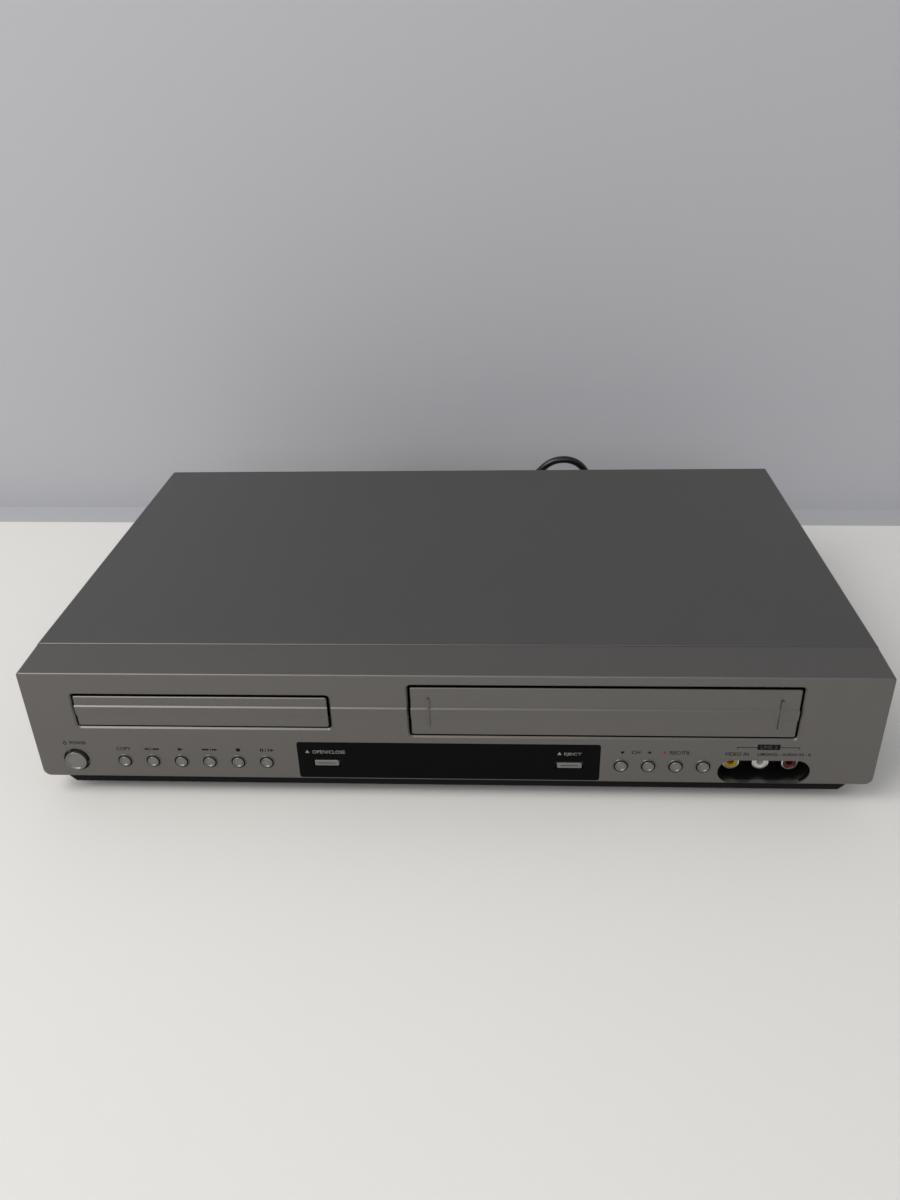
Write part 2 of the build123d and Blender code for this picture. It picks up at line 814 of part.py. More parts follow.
def motor_gear():
    """The small gear on the tray motor's shaft."""
    y = front + tray_gear_y
    wheel = gear(motor_x, y, drive_gear_bottom, drive_gear_bottom + drive_gear_sheet, drive_module,
                 motor_gear_teeth, 0.0)
    return wheel + post(motor_x, y, loader_floor - 6, drive_gear_bottom + drive_gear_sheet + 1,
                        motor_shaft_radius)


def tray_motor():
    """The motor under the loader's floor."""
    y = front + tray_gear_y
    can = post(motor_x, y, loader_floor - tray_motor_length, loader_floor, tray_motor_radius)
    can = fillet(can.edges().sort_by(Axis.Z)[:1], 1.0)
    return can - post(motor_x, y, loader_floor - 6.3, loader_floor + 1, motor_shaft_radius + run_gap)


# ---- disc loader
def disc_tray():
    """The sliding tray: its disc recess, spindle slot, skids and rack."""
    y0 = front + fascia_sheet
    y1 = y0 + tray_length
    arm_end = y1 + tray_arm_length
    centre_y = front + disc_y
    tray = block(disc_x - tray_half_width, disc_x + tray_half_width, y0, y1, tray_bottom, tray_top)
    for s in (-1, 1):
        outer = disc_x + s * tray_half_width
        tray += block(outer - s * 6, outer, y1 - 1, arm_end, tray_bottom, tray_top)
        tray += block(outer - s * skid_width, outer, y0 + 3, arm_end, skid_bottom, tray_bottom + 0.5)
    for tooth in rack():
        tray += tooth
    recess_floor = tray_top - disc_recess
    tray -= post(disc_x, centre_y, recess_floor, tray_top + 1, disc_radius + disc_play)
    tray -= post(disc_x, centre_y, recess_floor - small_disc_step, tray_top + 1,
                 small_disc_radius + disc_play)
    tray -= post(disc_x, centre_y, tray_bottom - 1, tray_top + 1, tray_slot / 2)
    tray -= block(disc_x - tray_slot / 2, disc_x + tray_slot / 2, centre_y, y1 + 1, tray_bottom - 1,
                  tray_top + 1)
    for s in (-1, 1):
        scoop = post(disc_x + s * 42, centre_y - 46, recess_floor, tray_top + 1, 11.0)
        tray -= scoop
    return tray


def tray_fascia():
    """The silver front of the disc tray."""
    face = rounded(disc_open_left + fascia_gap, disc_open_right - fascia_gap,
                   disc_open_bottom + fascia_gap, disc_open_top - fascia_gap,
                   opening_corner - 0.8)
    plate = slab_y(face, front, front + fascia_sheet)
    plate = chamfer(plate.faces().sort_by(Axis.Y)[0].edges(), 0.35)
    return plate + band(disc_open_left + fascia_gap, disc_open_right - fascia_gap)


def loader_frame():
    """The moulded frame that carries the tray, its gear and the lifting deck."""
    y0 = front + loader_front
    y1 = y0 + loader_length
    half = loader_half_width
    frame = block(disc_x - half, disc_x + half, y0, y1, loader_floor, loader_top_of_floor)
    frame -= block(disc_x - lift_half_width + 6, disc_x + lift_half_width - 6,
                   front + lift_front + 6, front + lift_front + lift_length - 6, loader_floor - 1,
                   loader_top_of_floor + 1)
    ledge_top = skid_bottom - seat_gap
    guide_x = tray_half_width + 0.4
    inner = half - loader_wall
    for s in (-1, 1):
        frame += block(disc_x + s * inner, disc_x + s * half, y0, y1, loader_floor, loader_top)
        frame += block(disc_x + s * (tray_half_width - skid_width + 0.5), disc_x + s * (inner + 1),
                       y0 + 2, y1 - 2, ledge_top - 2, ledge_top)
        frame += block(disc_x + s * guide_x, disc_x + s * (inner + 1), y0 + 2, y1 - 2,
                       ledge_top - 1, ledge_top + 2.8)
        frame += block(disc_x + s * (tray_half_width - 4.5), disc_x + s * (inner + 1), y0 + 2,
                       y0 + 18, tray_top + 0.4, tray_top + 2.4)
    for x, y in loader_leg_places():
        frame += post(x, y, pan_floor, loader_floor + 0.5, leg_radius)
        frame -= post(x, y, loader_floor - 12, loader_top_of_floor + 1, screw_hole)
    bridge_z = loader_top
    bridge = block(disc_x - half, disc_x + half, front + disc_y - bridge_half_length,
                   front + disc_y + bridge_half_length, bridge_z, bridge_z + bridge_sheet)
    frame += bridge - post(disc_x, front + disc_y, bridge_z - 1, bridge_z + bridge_sheet + 1,
                           clamp_hole)
    gear_y = front + tray_gear_y
    frame += post(tray_gear_x, gear_y, loader_floor, drive_gear_bottom - seat_gap, 4.0)
    frame += post(tray_gear_x, gear_y, loader_floor, rack_gear_top - 0.3, axle_radius)
    frame -= post(motor_x, gear_y, loader_floor - 1, loader_top_of_floor + 1, 3.5)
    for x, y in lift_pin_places():
        frame += post(x, y, loader_floor, loader_top_of_floor + lift_travel + 5, lift_pin_radius)
    return frame


def lift_pin_places():
    """Pins of the frame on which the deck under the disc rises."""
    x = lift_half_width - 3
    ys = (front + lift_front + 3.2, front + lift_front + lift_length - 3.2)
    return [(disc_x + s * x, y) for s in (-1, 1) for y in ys]


lift_bottom = loader_top_of_floor + seat_gap
lift_top = lift_bottom + lift_sheet
rod_z = lift_top + rod_lift
rod_front = disc_y + spindle_motor_radius - 3
rod_back = disc_y + lens_from_disc_centre + sled_travel + sled_length


def traverse_plate():
    """The deck under the disc: spindle motor and the ends that hold the sled's rods."""
    y0 = front + lift_front
    plate = block(disc_x - lift_half_width, disc_x + lift_half_width, y0, y0 + lift_length,
                  lift_bottom, lift_top)
    plate -= block(disc_x - rod_half_gap + 6, disc_x + rod_half_gap - 6,
                   front + disc_y + spindle_motor_radius + 6, front + rod_back - 4,
                   lift_bottom - 1, lift_top + 1)
    for x, y in lift_pin_places():
        plate -= post(x, y, lift_bottom - 1, lift_top + 1, lift_pin_radius + run_gap)
    motor_top = lift_top + spindle_motor_height
    plate += post(disc_x, front + disc_y, lift_top - 0.5, motor_top, spindle_motor_radius)
    plate -= post(disc_x, front + disc_y, lift_top, motor_top + 1, spindle_radius + run_gap)
    for s in (-1, 1):
        x = disc_x + s * rod_half_gap
        for y in (front + rod_front, front + rod_back):
            holder = block(x - 3.5, x + 3.5, y - 2, y + 2, lift_top - 0.5, rod_z + 3)
            plate += holder - barrel(x, rod_z, y - 3, y + 3, rod_radius)
    return plate


def sled_rods():
    """The two rods that the laser sled slides on."""
    ends = (front + rod_front - 2, front + rod_back + 2)
    return group([barrel(disc_x + s * rod_half_gap, rod_z, *ends, rod_radius) for s in (-1, 1)])


def pickup_sled():
    """The sled with the lens, run on its two rods."""
    lens_y = front + disc_y + lens_from_disc_centre
    y0 = front + disc_y + spindle_motor_radius + 1.2
    z0 = rod_z - 3.2
    z1 = rod_z + 4.2
    sled = block(disc_x - rod_half_gap - 5, disc_x + rod_half_gap + 5, y0, y0 + sled_length, z0, z1)
    sled += post(disc_x, lens_y, z1 - 0.5, z1 + 2.4, lens_radius + 1.5)
    sled += Pos(disc_x, lens_y, z1 + 2.4) * Sphere(lens_radius, arc_size1=0)
    for s in (-1, 1):
        sled -= barrel(disc_x + s * rod_half_gap, rod_z, y0 - 1, y0 + sled_length + 1,
                       rod_radius + run_gap)
    return sled


def turntable():
    """The spindle, its table and the hub that centres a disc."""
    y = front + disc_y
    motor_top = lift_top + spindle_motor_height
    table_z = motor_top + seat_gap + 1.5
    table = post(disc_x, y, motor_top + seat_gap, table_z, 6.0)
    table += post(disc_x, y, table_z, table_z + turntable_height, turntable_radius)
    hub = post(disc_x, y, table_z + turntable_height - 0.5,
               table_z + turntable_height + hub_height, hub_radius)
    table += chamfer(hub.edges().sort_by(Axis.Z)[-1:], 0.8)
    return table + post(disc_x, y, lift_top + 1, table_z, spindle_radius)


def disc_clamp():
    """The puck that hangs in the bridge and holds a disc from above."""
    y = front + disc_y
    flange_z = loader_top + bridge_sheet + seat_gap
    puck_top = tray_top + 0.4 + clamp_thickness
    clamp = post(disc_x, y, tray_top + 0.4, puck_top, clamp_radius)
    clamp += post(disc_x, y, puck_top - 0.5, flange_z + 0.5, clamp_neck)
    clamp += post(disc_x, y, flange_z, flange_z + 1.3, clamp_flange)
    socket = post(disc_x, y, tray_top, tray_top + 1.4, hub_radius + 0.6)
    return clamp - socket


# ---- cassette door
def cassette_door():
    """The hinged flap with its band, two ribs, ears and hinge pins."""
    x0 = tape_open_left + door_gap
    x1 = tape_open_right - door_gap
    z0 = tape_open_bottom + door_gap
    z1 = tape_open_top - door_gap
    door = slab_y(rounded(x0, x1, z0, z1, 1.0), front, front + door_sheet)
    door = chamfer(door.faces().sort_by(Axis.Y)[0].edges(), 0.35)
    door += band(x0, x1)
    for x in (x0 + door_rib_inset - door_rib_width / 2, x1 - door_rib_inset + door_rib_width / 2):
        rib = block(x - door_rib_width / 2, x + door_rib_width / 2, front - door_rib_proud,
                    front + 0.5, door_rib_z - door_rib_height / 2, door_rib_z + door_rib_height / 2)
        door += fillet(rib.faces().sort_by(Axis.Y)[0].edges(), 0.3)
    axis_y = front + door_axis_y
    for s, edge in ((-1, x0), (1, x1)):
        ear_inner = edge - s * door_ear
        door += bar(axis_y, door_axis_z, ear_inner, edge, door_ear_radius)
        arm = prism_x(((front + door_sheet - 0.5, z1 - 2.4), (axis_y + door_ear_radius, z1 - 1.0),
                       (axis_y + door_ear_radius, door_axis_z), (axis_y - 0.8, door_axis_z),
                       (axis_y - 1.4, z1 - 0.2), (front + door_sheet - 0.5, z1 - 0.6)),
                      min(ear_inner, edge), max(ear_inner, edge))
        door += arm
        door += bar(axis_y, door_axis_z, ear_inner, edge + s * door_pin_length, door_pin_radius)
    return door


def door_spring():
    """The torsion spring round the door's left pin, behind the bezel."""
    radius = door_pin_radius + 0.08 + spring_wire / 2
    start_x = tape_open_left + door_gap - 0.15 - spring_wire / 2
    height_of_turns = spring_turns * spring_pitch
    path = Helix(pitch=spring_pitch, height=height_of_turns, radius=radius,
                 direction=(-1, 0, 0), center=(start_x, front + door_axis_y, door_axis_z))
    section = Plane(origin=path @ 0, z_dir=path % 0) * Circle(spring_wire / 2)
    return sweep(section, path=path)


# ---- cassette deck
cassette_top = cassette_bottom + cassette_height
basket_inner = cassette_width / 2 + cassette_play
basket_outer = basket_inner + basket_sheet
carriage_inner = basket_outer + basket_gap
carriage_outer = carriage_inner + carriage_sheet
frame_inner = carriage_outer + basket_gap
frame_outer = frame_inner + frame_sheet
basket_roof = cassette_top + 0.5
carriage_pin_ys = (basket_front + 13.0, basket_front + 35.0)
basket_pin_y = basket_front + 24.0


def deck_plate():
    """The steel deck: legs, reel pins, capstan bearing and the pinch arm's pivot."""
    y0 = front + deck_front
    plate = block(tape_x - deck_half_width, tape_x + deck_half_width, y0, y0 + deck_length,
                  deck_floor, deck_top)
    for x, y in deck_leg_places():
        plate += post(x, y, pan_floor, deck_floor + 0.5, leg_radius)
        plate -= post(x, y, deck_floor - 8, deck_top + 1, screw_hole)
    for s in (-1, 1):
        x = tape_x + s * reel_spacing / 2
        plate += post(x, front + reel_y, deck_floor, deck_top + 15.5, axle_radius)
    capstan_x = tape_x + capstan_offset_x
    plate += post(capstan_x, front + capstan_y, deck_floor, deck_top + bearing_height, 4.5)
    plate -= post(capstan_x, front + capstan_y, deck_floor - 1, deck_top + bearing_height + 1,
                  capstan_radius + run_gap)
    plate += post(tape_x + pinch_pivot_offset_x, front + pinch_pivot_y, deck_floor, deck_top + 8,
                  axle_radius)
    return plate


def reel(x):
    """A reel table with the splined spindle that enters a cassette hub."""
    y = front + reel_y
    z0 = deck_top + seat_gap
    table = post(x, y, z0, z0 + 1.8, reel_radius)
    table += post(x, y, z0 + 1.5, z0 + 1.8 + reel_spindle_height, reel_spindle_radius - 1.5)
    for i in range(3):
        fin = block(-reel_spindle_radius, 0, -0.8, 0.8, z0 + 1.5, z0 + 1.3 + reel_spindle_height)
        table += Pos(x, y) * Rot(0, 0, 120 * i) * fin
    return table - post(x, y, z0 - 1, z0 + 20, axle_radius + run_gap)


drum_plane = Plane((tape_x + drum_offset_x, front + drum_y, deck_top)) * Rot(-drum_tilt, 0, 0)


def on_drum_axis(z0, z1, radius):
    """A cylinder on the tilted axis of the head drum."""
    return drum_plane * Pos(0, 0, (z0 + z1) / 2) * Cylinder(radius, z1 - z0)


def lower_drum():
    """The fixed half of the head drum, on its foot."""
    top = drum_lift + lower_drum_height
    drum = on_drum_axis(drum_lift, top, drum_radius)
    drum += post(tape_x + drum_offset_x, front + drum_y, deck_top, deck_top + drum_lift + 4,
                 drum_foot_radius)
    return drum - on_drum_axis(drum_lift + 2, top + 1, drum_shaft_radius + run_gap)


def upper_drum():
    """The turning half of the head drum, with its shaft."""
    low = drum_lift + lower_drum_height + drum_gap
    drum = on_drum_axis(low, low + upper_drum_height, drum_radius)
    drum = fillet(drum.edges().sort_by(Axis.Z)[-1:], 0.6)
    drum -= on_drum_axis(low + upper_drum_height - 3, low + upper_drum_height + 1, drum_radius - 9)
    drum += on_drum_axis(low + upper_drum_height - 4, low + upper_drum_height, 9.0)
    return drum + on_drum_axis(drum_lift + 2.5, low + 1, drum_shaft_radius)


def capstan():
    """The capstan shaft and its flywheel under the deck."""
    x = tape_x + capstan_offset_x
    y = front + capstan_y
    wheel_top = deck_floor - 1.2
    shaft = post(x, y, pan_floor + seat_gap, capstan_top, capstan_radius)
    wheel = post(x, y, wheel_top - flywheel_height, wheel_top, flywheel_radius)
    return shaft + fillet(wheel.edges(), 0.6)


def pinch_roller_place():
    """Centre of the pinch roller while the arm rests."""
    angle = radians(pinch_rest_angle)
    return (tape_x + pinch_pivot_offset_x + pinch_reach * cos(angle),
            front + pinch_pivot_y + pinch_reach * sin(angle))


def pinch_arm():
    """The arm that swings the rubber roller to the capstan."""
    px = tape_x + pinch_pivot_offset_x
    py = front + pinch_pivot_y
    rx, ry = pinch_roller_place()
    z0 = deck_top + seat_gap
    arm = post(px, py, z0, z0 + 5, 4.5)
    bar_plate = Pos((px + rx) / 2, (py + ry) / 2, z0 + 1.5) * Rot(0, 0, pinch_rest_angle)
    arm += bar_plate * Box(pinch_reach, 5, 3)
    arm += post(rx, ry, z0, z0 + 3, 3.5)
    arm += post(rx, ry, z0, z0 + 3 + seat_gap + pinch_roller_height + 2, guide_pin_radius)
    return arm - post(px, py, z0 - 1, z0 + 6, axle_radius + run_gap)


def pinch_roller():
    """The rubber roller on its pin."""
    rx, ry = pinch_roller_place()
    z0 = deck_top + seat_gap + 3 + seat_gap
    roller = post(rx, ry, z0, z0 + pinch_roller_height, pinch_roller_radius)
    roller = fillet(roller.edges(), 0.6)
    return roller - post(rx, ry, z0 - 1, z0 + pinch_roller_height + 1, guide_pin_radius + run_gap)


def side_slot(x0, x1, y0, y1, z0, z1):
    """A straight slot through a side plate, for a guide pin."""
    play = guide_pin_radius + slot_play
    return block(x0, x1, y0 - play, y1 + play, z0 - play, z1 + play)


def basket_frame():
    """The two fixed side plates with the carriage's slots, joined over the top."""
    y0 = front + deck_front
    y1 = front + basket_front + basket_length + basket_travel + 4
    top = basket_roof + basket_sheet + 2.0
    frame = block(tape_x - frame_outer, tape_x + frame_outer, y1 - 7, y1, top - 0.2, top + 1.2)
    for s in (-1, 1):
        plate = block(tape_x + s * frame_inner, tape_x + s * frame_outer, y0, y1, deck_top, top + 1)
        plate -= side_slot(tape_x + s * (frame_inner - 1), tape_x + s * (frame_outer + 1),
                           front + carriage_pin_ys[0], front + carriage_pin_ys[1] + basket_travel,
                           carriage_pin_z, carriage_pin_z)
        frame += plate
    return frame


def basket_carriage():
    """The sliding side plates, joined over the basket, that take the basket in."""
    y0 = front + basket_front + 6
    y1 = front + basket_front + basket_length
    roof = basket_roof + basket_sheet + 0.4
    carriage = block(tape_x - carriage_outer, tape_x + carriage_outer, y0 + 14, y0 + 24, roof,
                     roof + 1.2)
    for s in (-1, 1):
        plate = block(tape_x + s * carriage_inner, tape_x + s * carriage_outer, y0, y1,
                      basket_pin_z - basket_drop - 5, roof + 1.2)
        plate -= side_slot(tape_x + s * (carriage_inner - 1), tape_x + s * (carriage_outer + 1),
                           front + basket_pin_y, front + basket_pin_y,
                           basket_pin_z - basket_drop, basket_pin_z)
        carriage += plate
        for y in carriage_pin_ys:
            carriage += bar(front + y, carriage_pin_z, tape_x + s * (carriage_outer - 0.3),
                            tape_x + s * (frame_outer - 0.2), guide_pin_radius)
    return carriage


def cassette_basket():
    """The holder that a cassette slides into: two ledges, two sides, a roof and a stop."""
    y0 = front + basket_front
    y1 = y0 + basket_length
    roof = block(tape_x - basket_outer, tape_x + basket_outer, y0, y1, basket_roof,
                 basket_roof + basket_sheet)
    basket = roof
    for s in (-1, 1):
        basket += block(tape_x + s * basket_inner, tape_x + s * basket_outer, y0, y1,
                        cassette_bottom - basket_sheet, basket_roof + 0.5)
        basket += block(tape_x + s * (basket_inner - basket_ledge), tape_x + s * basket_outer, y0,
                        y1, cassette_bottom - basket_sheet, cassette_bottom)
        basket += block(tape_x + s * (basket_inner - 8), tape_x + s * basket_outer,
                        y1 - basket_sheet, y1, cassette_bottom - basket_sheet, basket_roof + 0.5)
        basket += bar(front + basket_pin_y, basket_pin_z, tape_x + s * (basket_outer - 0.3),
                      tape_x + s * (carriage_outer - 0.1), guide_pin_radius)
    return basket


# ---- boards and sockets
def circuit_board(box, notches):
    """A flat board on its standoffs, cleared round whatever passes through it."""
    x0, x1, y0, y1 = box
    board = block(x0, x1, y0, y1, board_bottom, board_top)
    for x, y in board_screw_places(box):
        board -= post(x, y, board_bottom - 1, board_top + 1, screw_hole)
    for x, y in notches:
        board -= post(x, y, board_bottom - 1, board_top + 1, leg_radius + 1)
    return board


chip_places = ((-160, 48, 24), (-110, 44, 18), (-75, 78, 14), (-150, 82, 12))
chip_height = 1.8
small_can = (4.0, 9.0)  # radius and height of a capacitor
large_can = (5.0, 14.0)
can_row = 108.0  # small cans, from the main board's front edge
connector = (20.0, 8.0, 9.0)
transformer_x = 36.0
transformer_core = (32.0, 26.0)  # width and height
transformer_coil = (44.0, 5.0, 20.0)  # width, lower and upper level
transformer_share = 0.28  # half its depth, as a share of the board's
reservoir_x = 130.0
reservoir_height = 32.0
heat_sink_xs = (70.0, 160.0)
heat_sink = (2.0, 30.0)  # thickness and height
outlet_coil_x = 186.0
outlet_coil = (20.0, 16.0)
diode_radius = 2.0
diode_height = 12.0


def board_part(x, y, part_width, part_depth, part_height):
    """A box-shaped component that stands in the board's surface."""
    return block(x - part_width / 2, x + part_width / 2, y - part_depth / 2, y + part_depth / 2,
                 board_top - board_sink, board_top + part_height)


def board_can(x, y, radius, can_height):
    """A round component that stands in the board's surface."""
    return post(x, y, board_top - board_sink, board_top + can_height, radius)


def main_board():
    """The signal board under and behind the disc loader."""
    legs = [place for place in loader_leg_places() if place[1] > main_board_box[2]]
    board = circuit_board(main_board_box, legs)
    x0, x1, y0, y1 = main_board_box
    behind_loader = front + loader_front + loader_length + 2
    for x, y, size in chip_places:
        board += board_part(x, y0 + y + size / 2, size, size, chip_height)
    for i in range(6):
        board += board_can(x0 + 16 + i * 22, y0 + can_row, *small_can)
    for i in range(4):
        board += board_can(-100 + i * 14, behind_loader, *large_can)
    board += board_part(x1 - 16, y0 + 22, *connector)
    return board


def power_board():
    """The supply board behind the cassette deck: transformer, capacitors and heat sinks."""
    board = circuit_board(power_board_box, [])
    y0 = power_board_box[2]
    y1 = power_board_box[3]
    middle = (y0 + y1) / 2
    half = (y1 - y0) * transformer_share
    core_width, core_height = transformer_core
    board += board_part(transformer_x, middle, core_width, 2 * half, core_height)
    coil_width, coil_low, coil_top = transformer_coil
    board += block(transformer_x - coil_width / 2, transformer_x + coil_width / 2,
                   middle - half * 0.65, middle + half * 0.65, board_top + coil_low,
                   board_top + coil_top)
    board += board_can(reservoir_x, middle, half * 0.79, reservoir_height)
    sink_width, sink_height = heat_sink
    for x in heat_sink_xs:
        board += board_part(x, middle, sink_width, y1 - y0 - 8, sink_height)
    for i in range(4):
        board += board_can(-2 + i * 4.4, y0 + (y1 - y0) * (0.3 + 0.15 * i), diode_radius,
                           diode_height)
    coil_size, coil_height = outlet_coil
    board += board_part(outlet_coil_x, middle, coil_size, half * 0.9, coil_height)
    return board


def jack_recess():
    """The black cup behind the socket opening, pierced for three sockets."""
    y0 = front + bezel_wall
    y1 = front + recess_depth
    grown = 2 * recess_wall
    place = Pos(recess_x, recess_z)
    cup = slab_y(place * SlotOverall(recess_width + grown, recess_height + grown), y0,
                 y1 + recess_wall)
    cup -= slab_y(place * SlotOverall(recess_width, recess_height), y0 - 1, y1)
    for x in front_jack_xs():
        cup -= barrel(x, recess_z, y1 - 1, y1 + recess_wall + 1, jack_radius + jack_play)
    return cup


def jack_insert(x, z, face_y, seat_y):
    """The coloured core of a socket, between its face and its seat, facing front or back."""
    inward = 1 if seat_y > face_y else -1
    core = barrel(x, z, min(face_y + inward * 0.5, seat_y), max(face_y + inward * 0.5, seat_y),
                  jack_radius - jack_wall)
    hole_end = face_y + inward * jack_hole_depth
    return core - barrel(x, z, min(face_y, hole_end), max(face_y, hole_end), jack_hole)


def jack_sleeve(x, z, face_y, seat_y):
    """The metal ring of a socket."""
    y0, y1 = sorted((face_y, seat_y))
    return barrel(x, z, y0, y1, jack_radius) - barrel(x, z, y0 - 1, y1 + 1, jack_radius - jack_wall)


front_seat = front + recess_depth + recess_wall + 0.1
rear_seat = panel_back - 0.1
rear_jack_face = panel_face + rear_jack_length


def jack_sleeves():
    """Metal rings of the front and the rear sockets."""
    rings = [jack_sleeve(x, recess_z, front + front_jack_face, front_seat) for x in front_jack_xs()]
    rings += [jack_sleeve(x, z, rear_jack_face, rear_seat) for x, z in rear_jack_places()]
    return group(rings)


def rear_jack_inserts():
    """Coloured cores of the rear sockets."""
    return group([jack_insert(x, z, rear_jack_face, rear_seat) for x, z in rear_jack_places()])


def jack_board():
    """The block and small upright board behind the front sockets."""
    y1 = front_seat + 10
    half = front_jack_pitch + 7
    housing = block(recess_x - half, recess_x + half, front_seat, y1, recess_z - 7, recess_z + 7)
    return housing + block(recess_x - half - 4, recess_x + half + 2, y1 - 0.1, y1 + board_sheet,
                           pan_floor + seat_gap, recess_z + 12)


def rear_jack_block():
    """The block on the main board that carries the rear sockets."""
    half_x = rear_jack_pitch_x / 2
    x1 = rear_jack_x + (rear_jack_columns - 1) * rear_jack_pitch_x + half_x
    top = rear_jack_z + (rear_jack_rows - 1) * rear_jack_pitch_z + 8
    return block(rear_jack_x - half_x, x1, rear_seat - jack_block_depth, rear_seat, board_top, top)


def rf_tuner():
    """The tuner can with its two aerial sockets."""
    centre_x = sum(aerial_xs) / 2
    can_front = front + loader_front + loader_length + tuner_gap
    can = block(centre_x - tuner_half_width, centre_x + tuner_half_width, can_front, rear_seat,
                board_top, board_top + tuner_height)
    for x in aerial_xs:
        can += barrel(x, aerial_z, rear_seat - 1, panel_face + 1, aerial_radius - aerial_step)
        can += barrel(x, aerial_z, panel_face + aerial_step, back + aerial_reach, aerial_radius)
        can -= barrel(x, aerial_z, back + aerial_reach - 7, back + aerial_reach + 1, 1.2)
    return can


# ---- mains lead: the route's points are chosen by hand, behind the back edge of the cover
lead_route = [(92.0, 20.0, 18.0), (92.0, 36.0, 18.0), (93.0, 47.0, 29.0), (93.5, 47.5, 44.0),
              (92.5, 46.0, 59.3), (80.8, 44.0, 69.9), (65.0, 43.5, 69.2), (54.0, 44.0, 58.4),
              (44.0, 48.0, 45.0), (34.0, 56.0, 31.0), (22.0, 67.0, 18.0), (7.0, 79.0, 8.5),
              (-8.0, 89.5, 3.4), (-22.0, 95.0, 2.7), (-34.6, 95.0, 2.7)]


def route_radii(points):
    """The bend at each inner point: 0.45 of its shorter run over the tangent of half its turn."""
    radii = []
    for before, here, after in zip(points, points[1:], points[2:]):
        run_in = Vector(*here) - Vector(*before)
        run_out = Vector(*after) - Vector(*here)
        turn = radians(run_in.get_angle(run_out))
        radii.append(0.45 * min(run_in.length, run_out.length) / tan(turn / 2))
    return radii


def swept_tube(path):
    """A round tube along a path."""
    section = Plane(origin=path @ 0, z_dir=path % 0) * Circle(lead_diameter / 2)
    return sweep(section, path=path)


def power_cord():
    """The free lead from its gland to the coil."""
    points = [(x, back + y, z) for x, y, z in lead_route]
    radii = route_radii(points)
    path = FilletPolyline(*points, radius=radii)
    tube = swept_tube(path)
    section = pi * (lead_diameter / 2) ** 2
    print("lead bends", [round(r, 1) for r in radii])
    print("lead length", round(path.length, 1), "volume ratio",
          round(tube.volume / section / path.length, 5))
    return tube


def half_turn(start, end, heading):
    """Two tangent quarter arcs from start to end, which leave along heading and come back."""
    p0 = Vector(*start)
    p1 = Vector(*end)
    reach = (p1 - p0).length / 2
    forward = Vector(*heading)
    top = (p0 + p1) * 0.5 + forward * reach
    across = (p1 - p0).normalized()
    first = TangentArc(p0, top, tangent=forward)
    second = TangentArc(top, p1, tangent=across)
    return [first, second]


def coil_corners():
    """Where the coil's half turns meet: one layer runs in, the next runs out."""
    low = lead_diameter / 2
    y = back + coil_y + coil_radius
    corners = [(coil_x, y, low)]
    for i in range(2 * coil_half_turns + 1):
        inward = min(i, 2 * coil_half_turns - i)
        y += (-2 if i % 2 == 0 else 2) * (coil_radius - inward * coil_pitch / 2)
        corners.append((coil_x, y, low + (0 if i < coil_half_turns else coil_layer)))
    return corners


def cord_coil():
    """The rest of the lead, wound in two layers on the floor behind the cabinet."""
    corners = coil_corners()
    start = corners[0]
    end = corners[-1]
    edges = [Line((start[0] + lead_diameter, start[1], start[2]), start)]
    for i, (a, b) in enumerate(zip(corners, corners[1:])):
        edges += half_turn(a, b, (-1 if i % 2 == 0 else 1, 0, 0))
    edges.append(Line(end, (end[0] + coil_tail, end[1], end[2])))
    path = Wire([edge for line in edges for edge in line.edges()])
    print("coil length", round(path.length, 1), "least gap to itself", round(coil_gap(path), 2))
    return swept_tube(path)


def coil_gap(path):
    """The least space between two stretches of the coil that aren't neighbours along it."""
    step = 3.0
    count = int(path.length / step)
    spots = [path @ (i / count) for i in range(count + 1)]
    skip = int(3 * lead_diameter / step) + 1
    least = min((a - b).length for i, a in enumerate(spots) for b in spots[i + skip:])
    return least - lead_diameter


def cord_gland():
    """The strain relief: a flange on each side of the panel and a tapered sleeve."""
    outer = panel_face
    gland = barrel(lead_x, lead_z, outer, outer + 2, gland_flange)
    gland += barrel(lead_x, lead_z, panel_back - 2, outer + 0.5, gland_neck - 0.1)
    gland += barrel(lead_x, lead_z, panel_back - 2.2, panel_back - 0.1, gland_flange - 1)
    sleeve = back + gland_length - outer - 2
    taper = Pos(lead_x, outer + 2 + sleeve / 2, lead_z) * Rot(-90, 0, 0)
    return gland + taper * Cone(gland_neck, lead_diameter / 2 + 0.8, sleeve)


def power_plug():
    """The moulded plug beside the coil, with its two flat blades."""
    end = coil_corners()[-1]
    x0 = end[0] + coil_tail
    z = end[2]
    body = block(x0 + 5, x0 + plug_length, end[1] - plug_width / 2, end[1] + plug_width / 2, 0,
                 2 * z)
    body = fillet(body.edges().filter_by(Axis.X), 4.0)
    neck = Pos(x0 + 3, end[1], z) * Rot(0, 90, 0) * Cone(4.2, 6.8, 6)
    plug = body + neck
    for s in (-1, 1):
        y = end[1] + s * blade_spacing / 2
        plug += block(x0 + plug_length - 1, x0 + plug_length + blade_length, y - blade_sheet / 2,
                      y + blade_sheet / 2, z - blade_height / 2, z + blade_height / 2)
    return plug


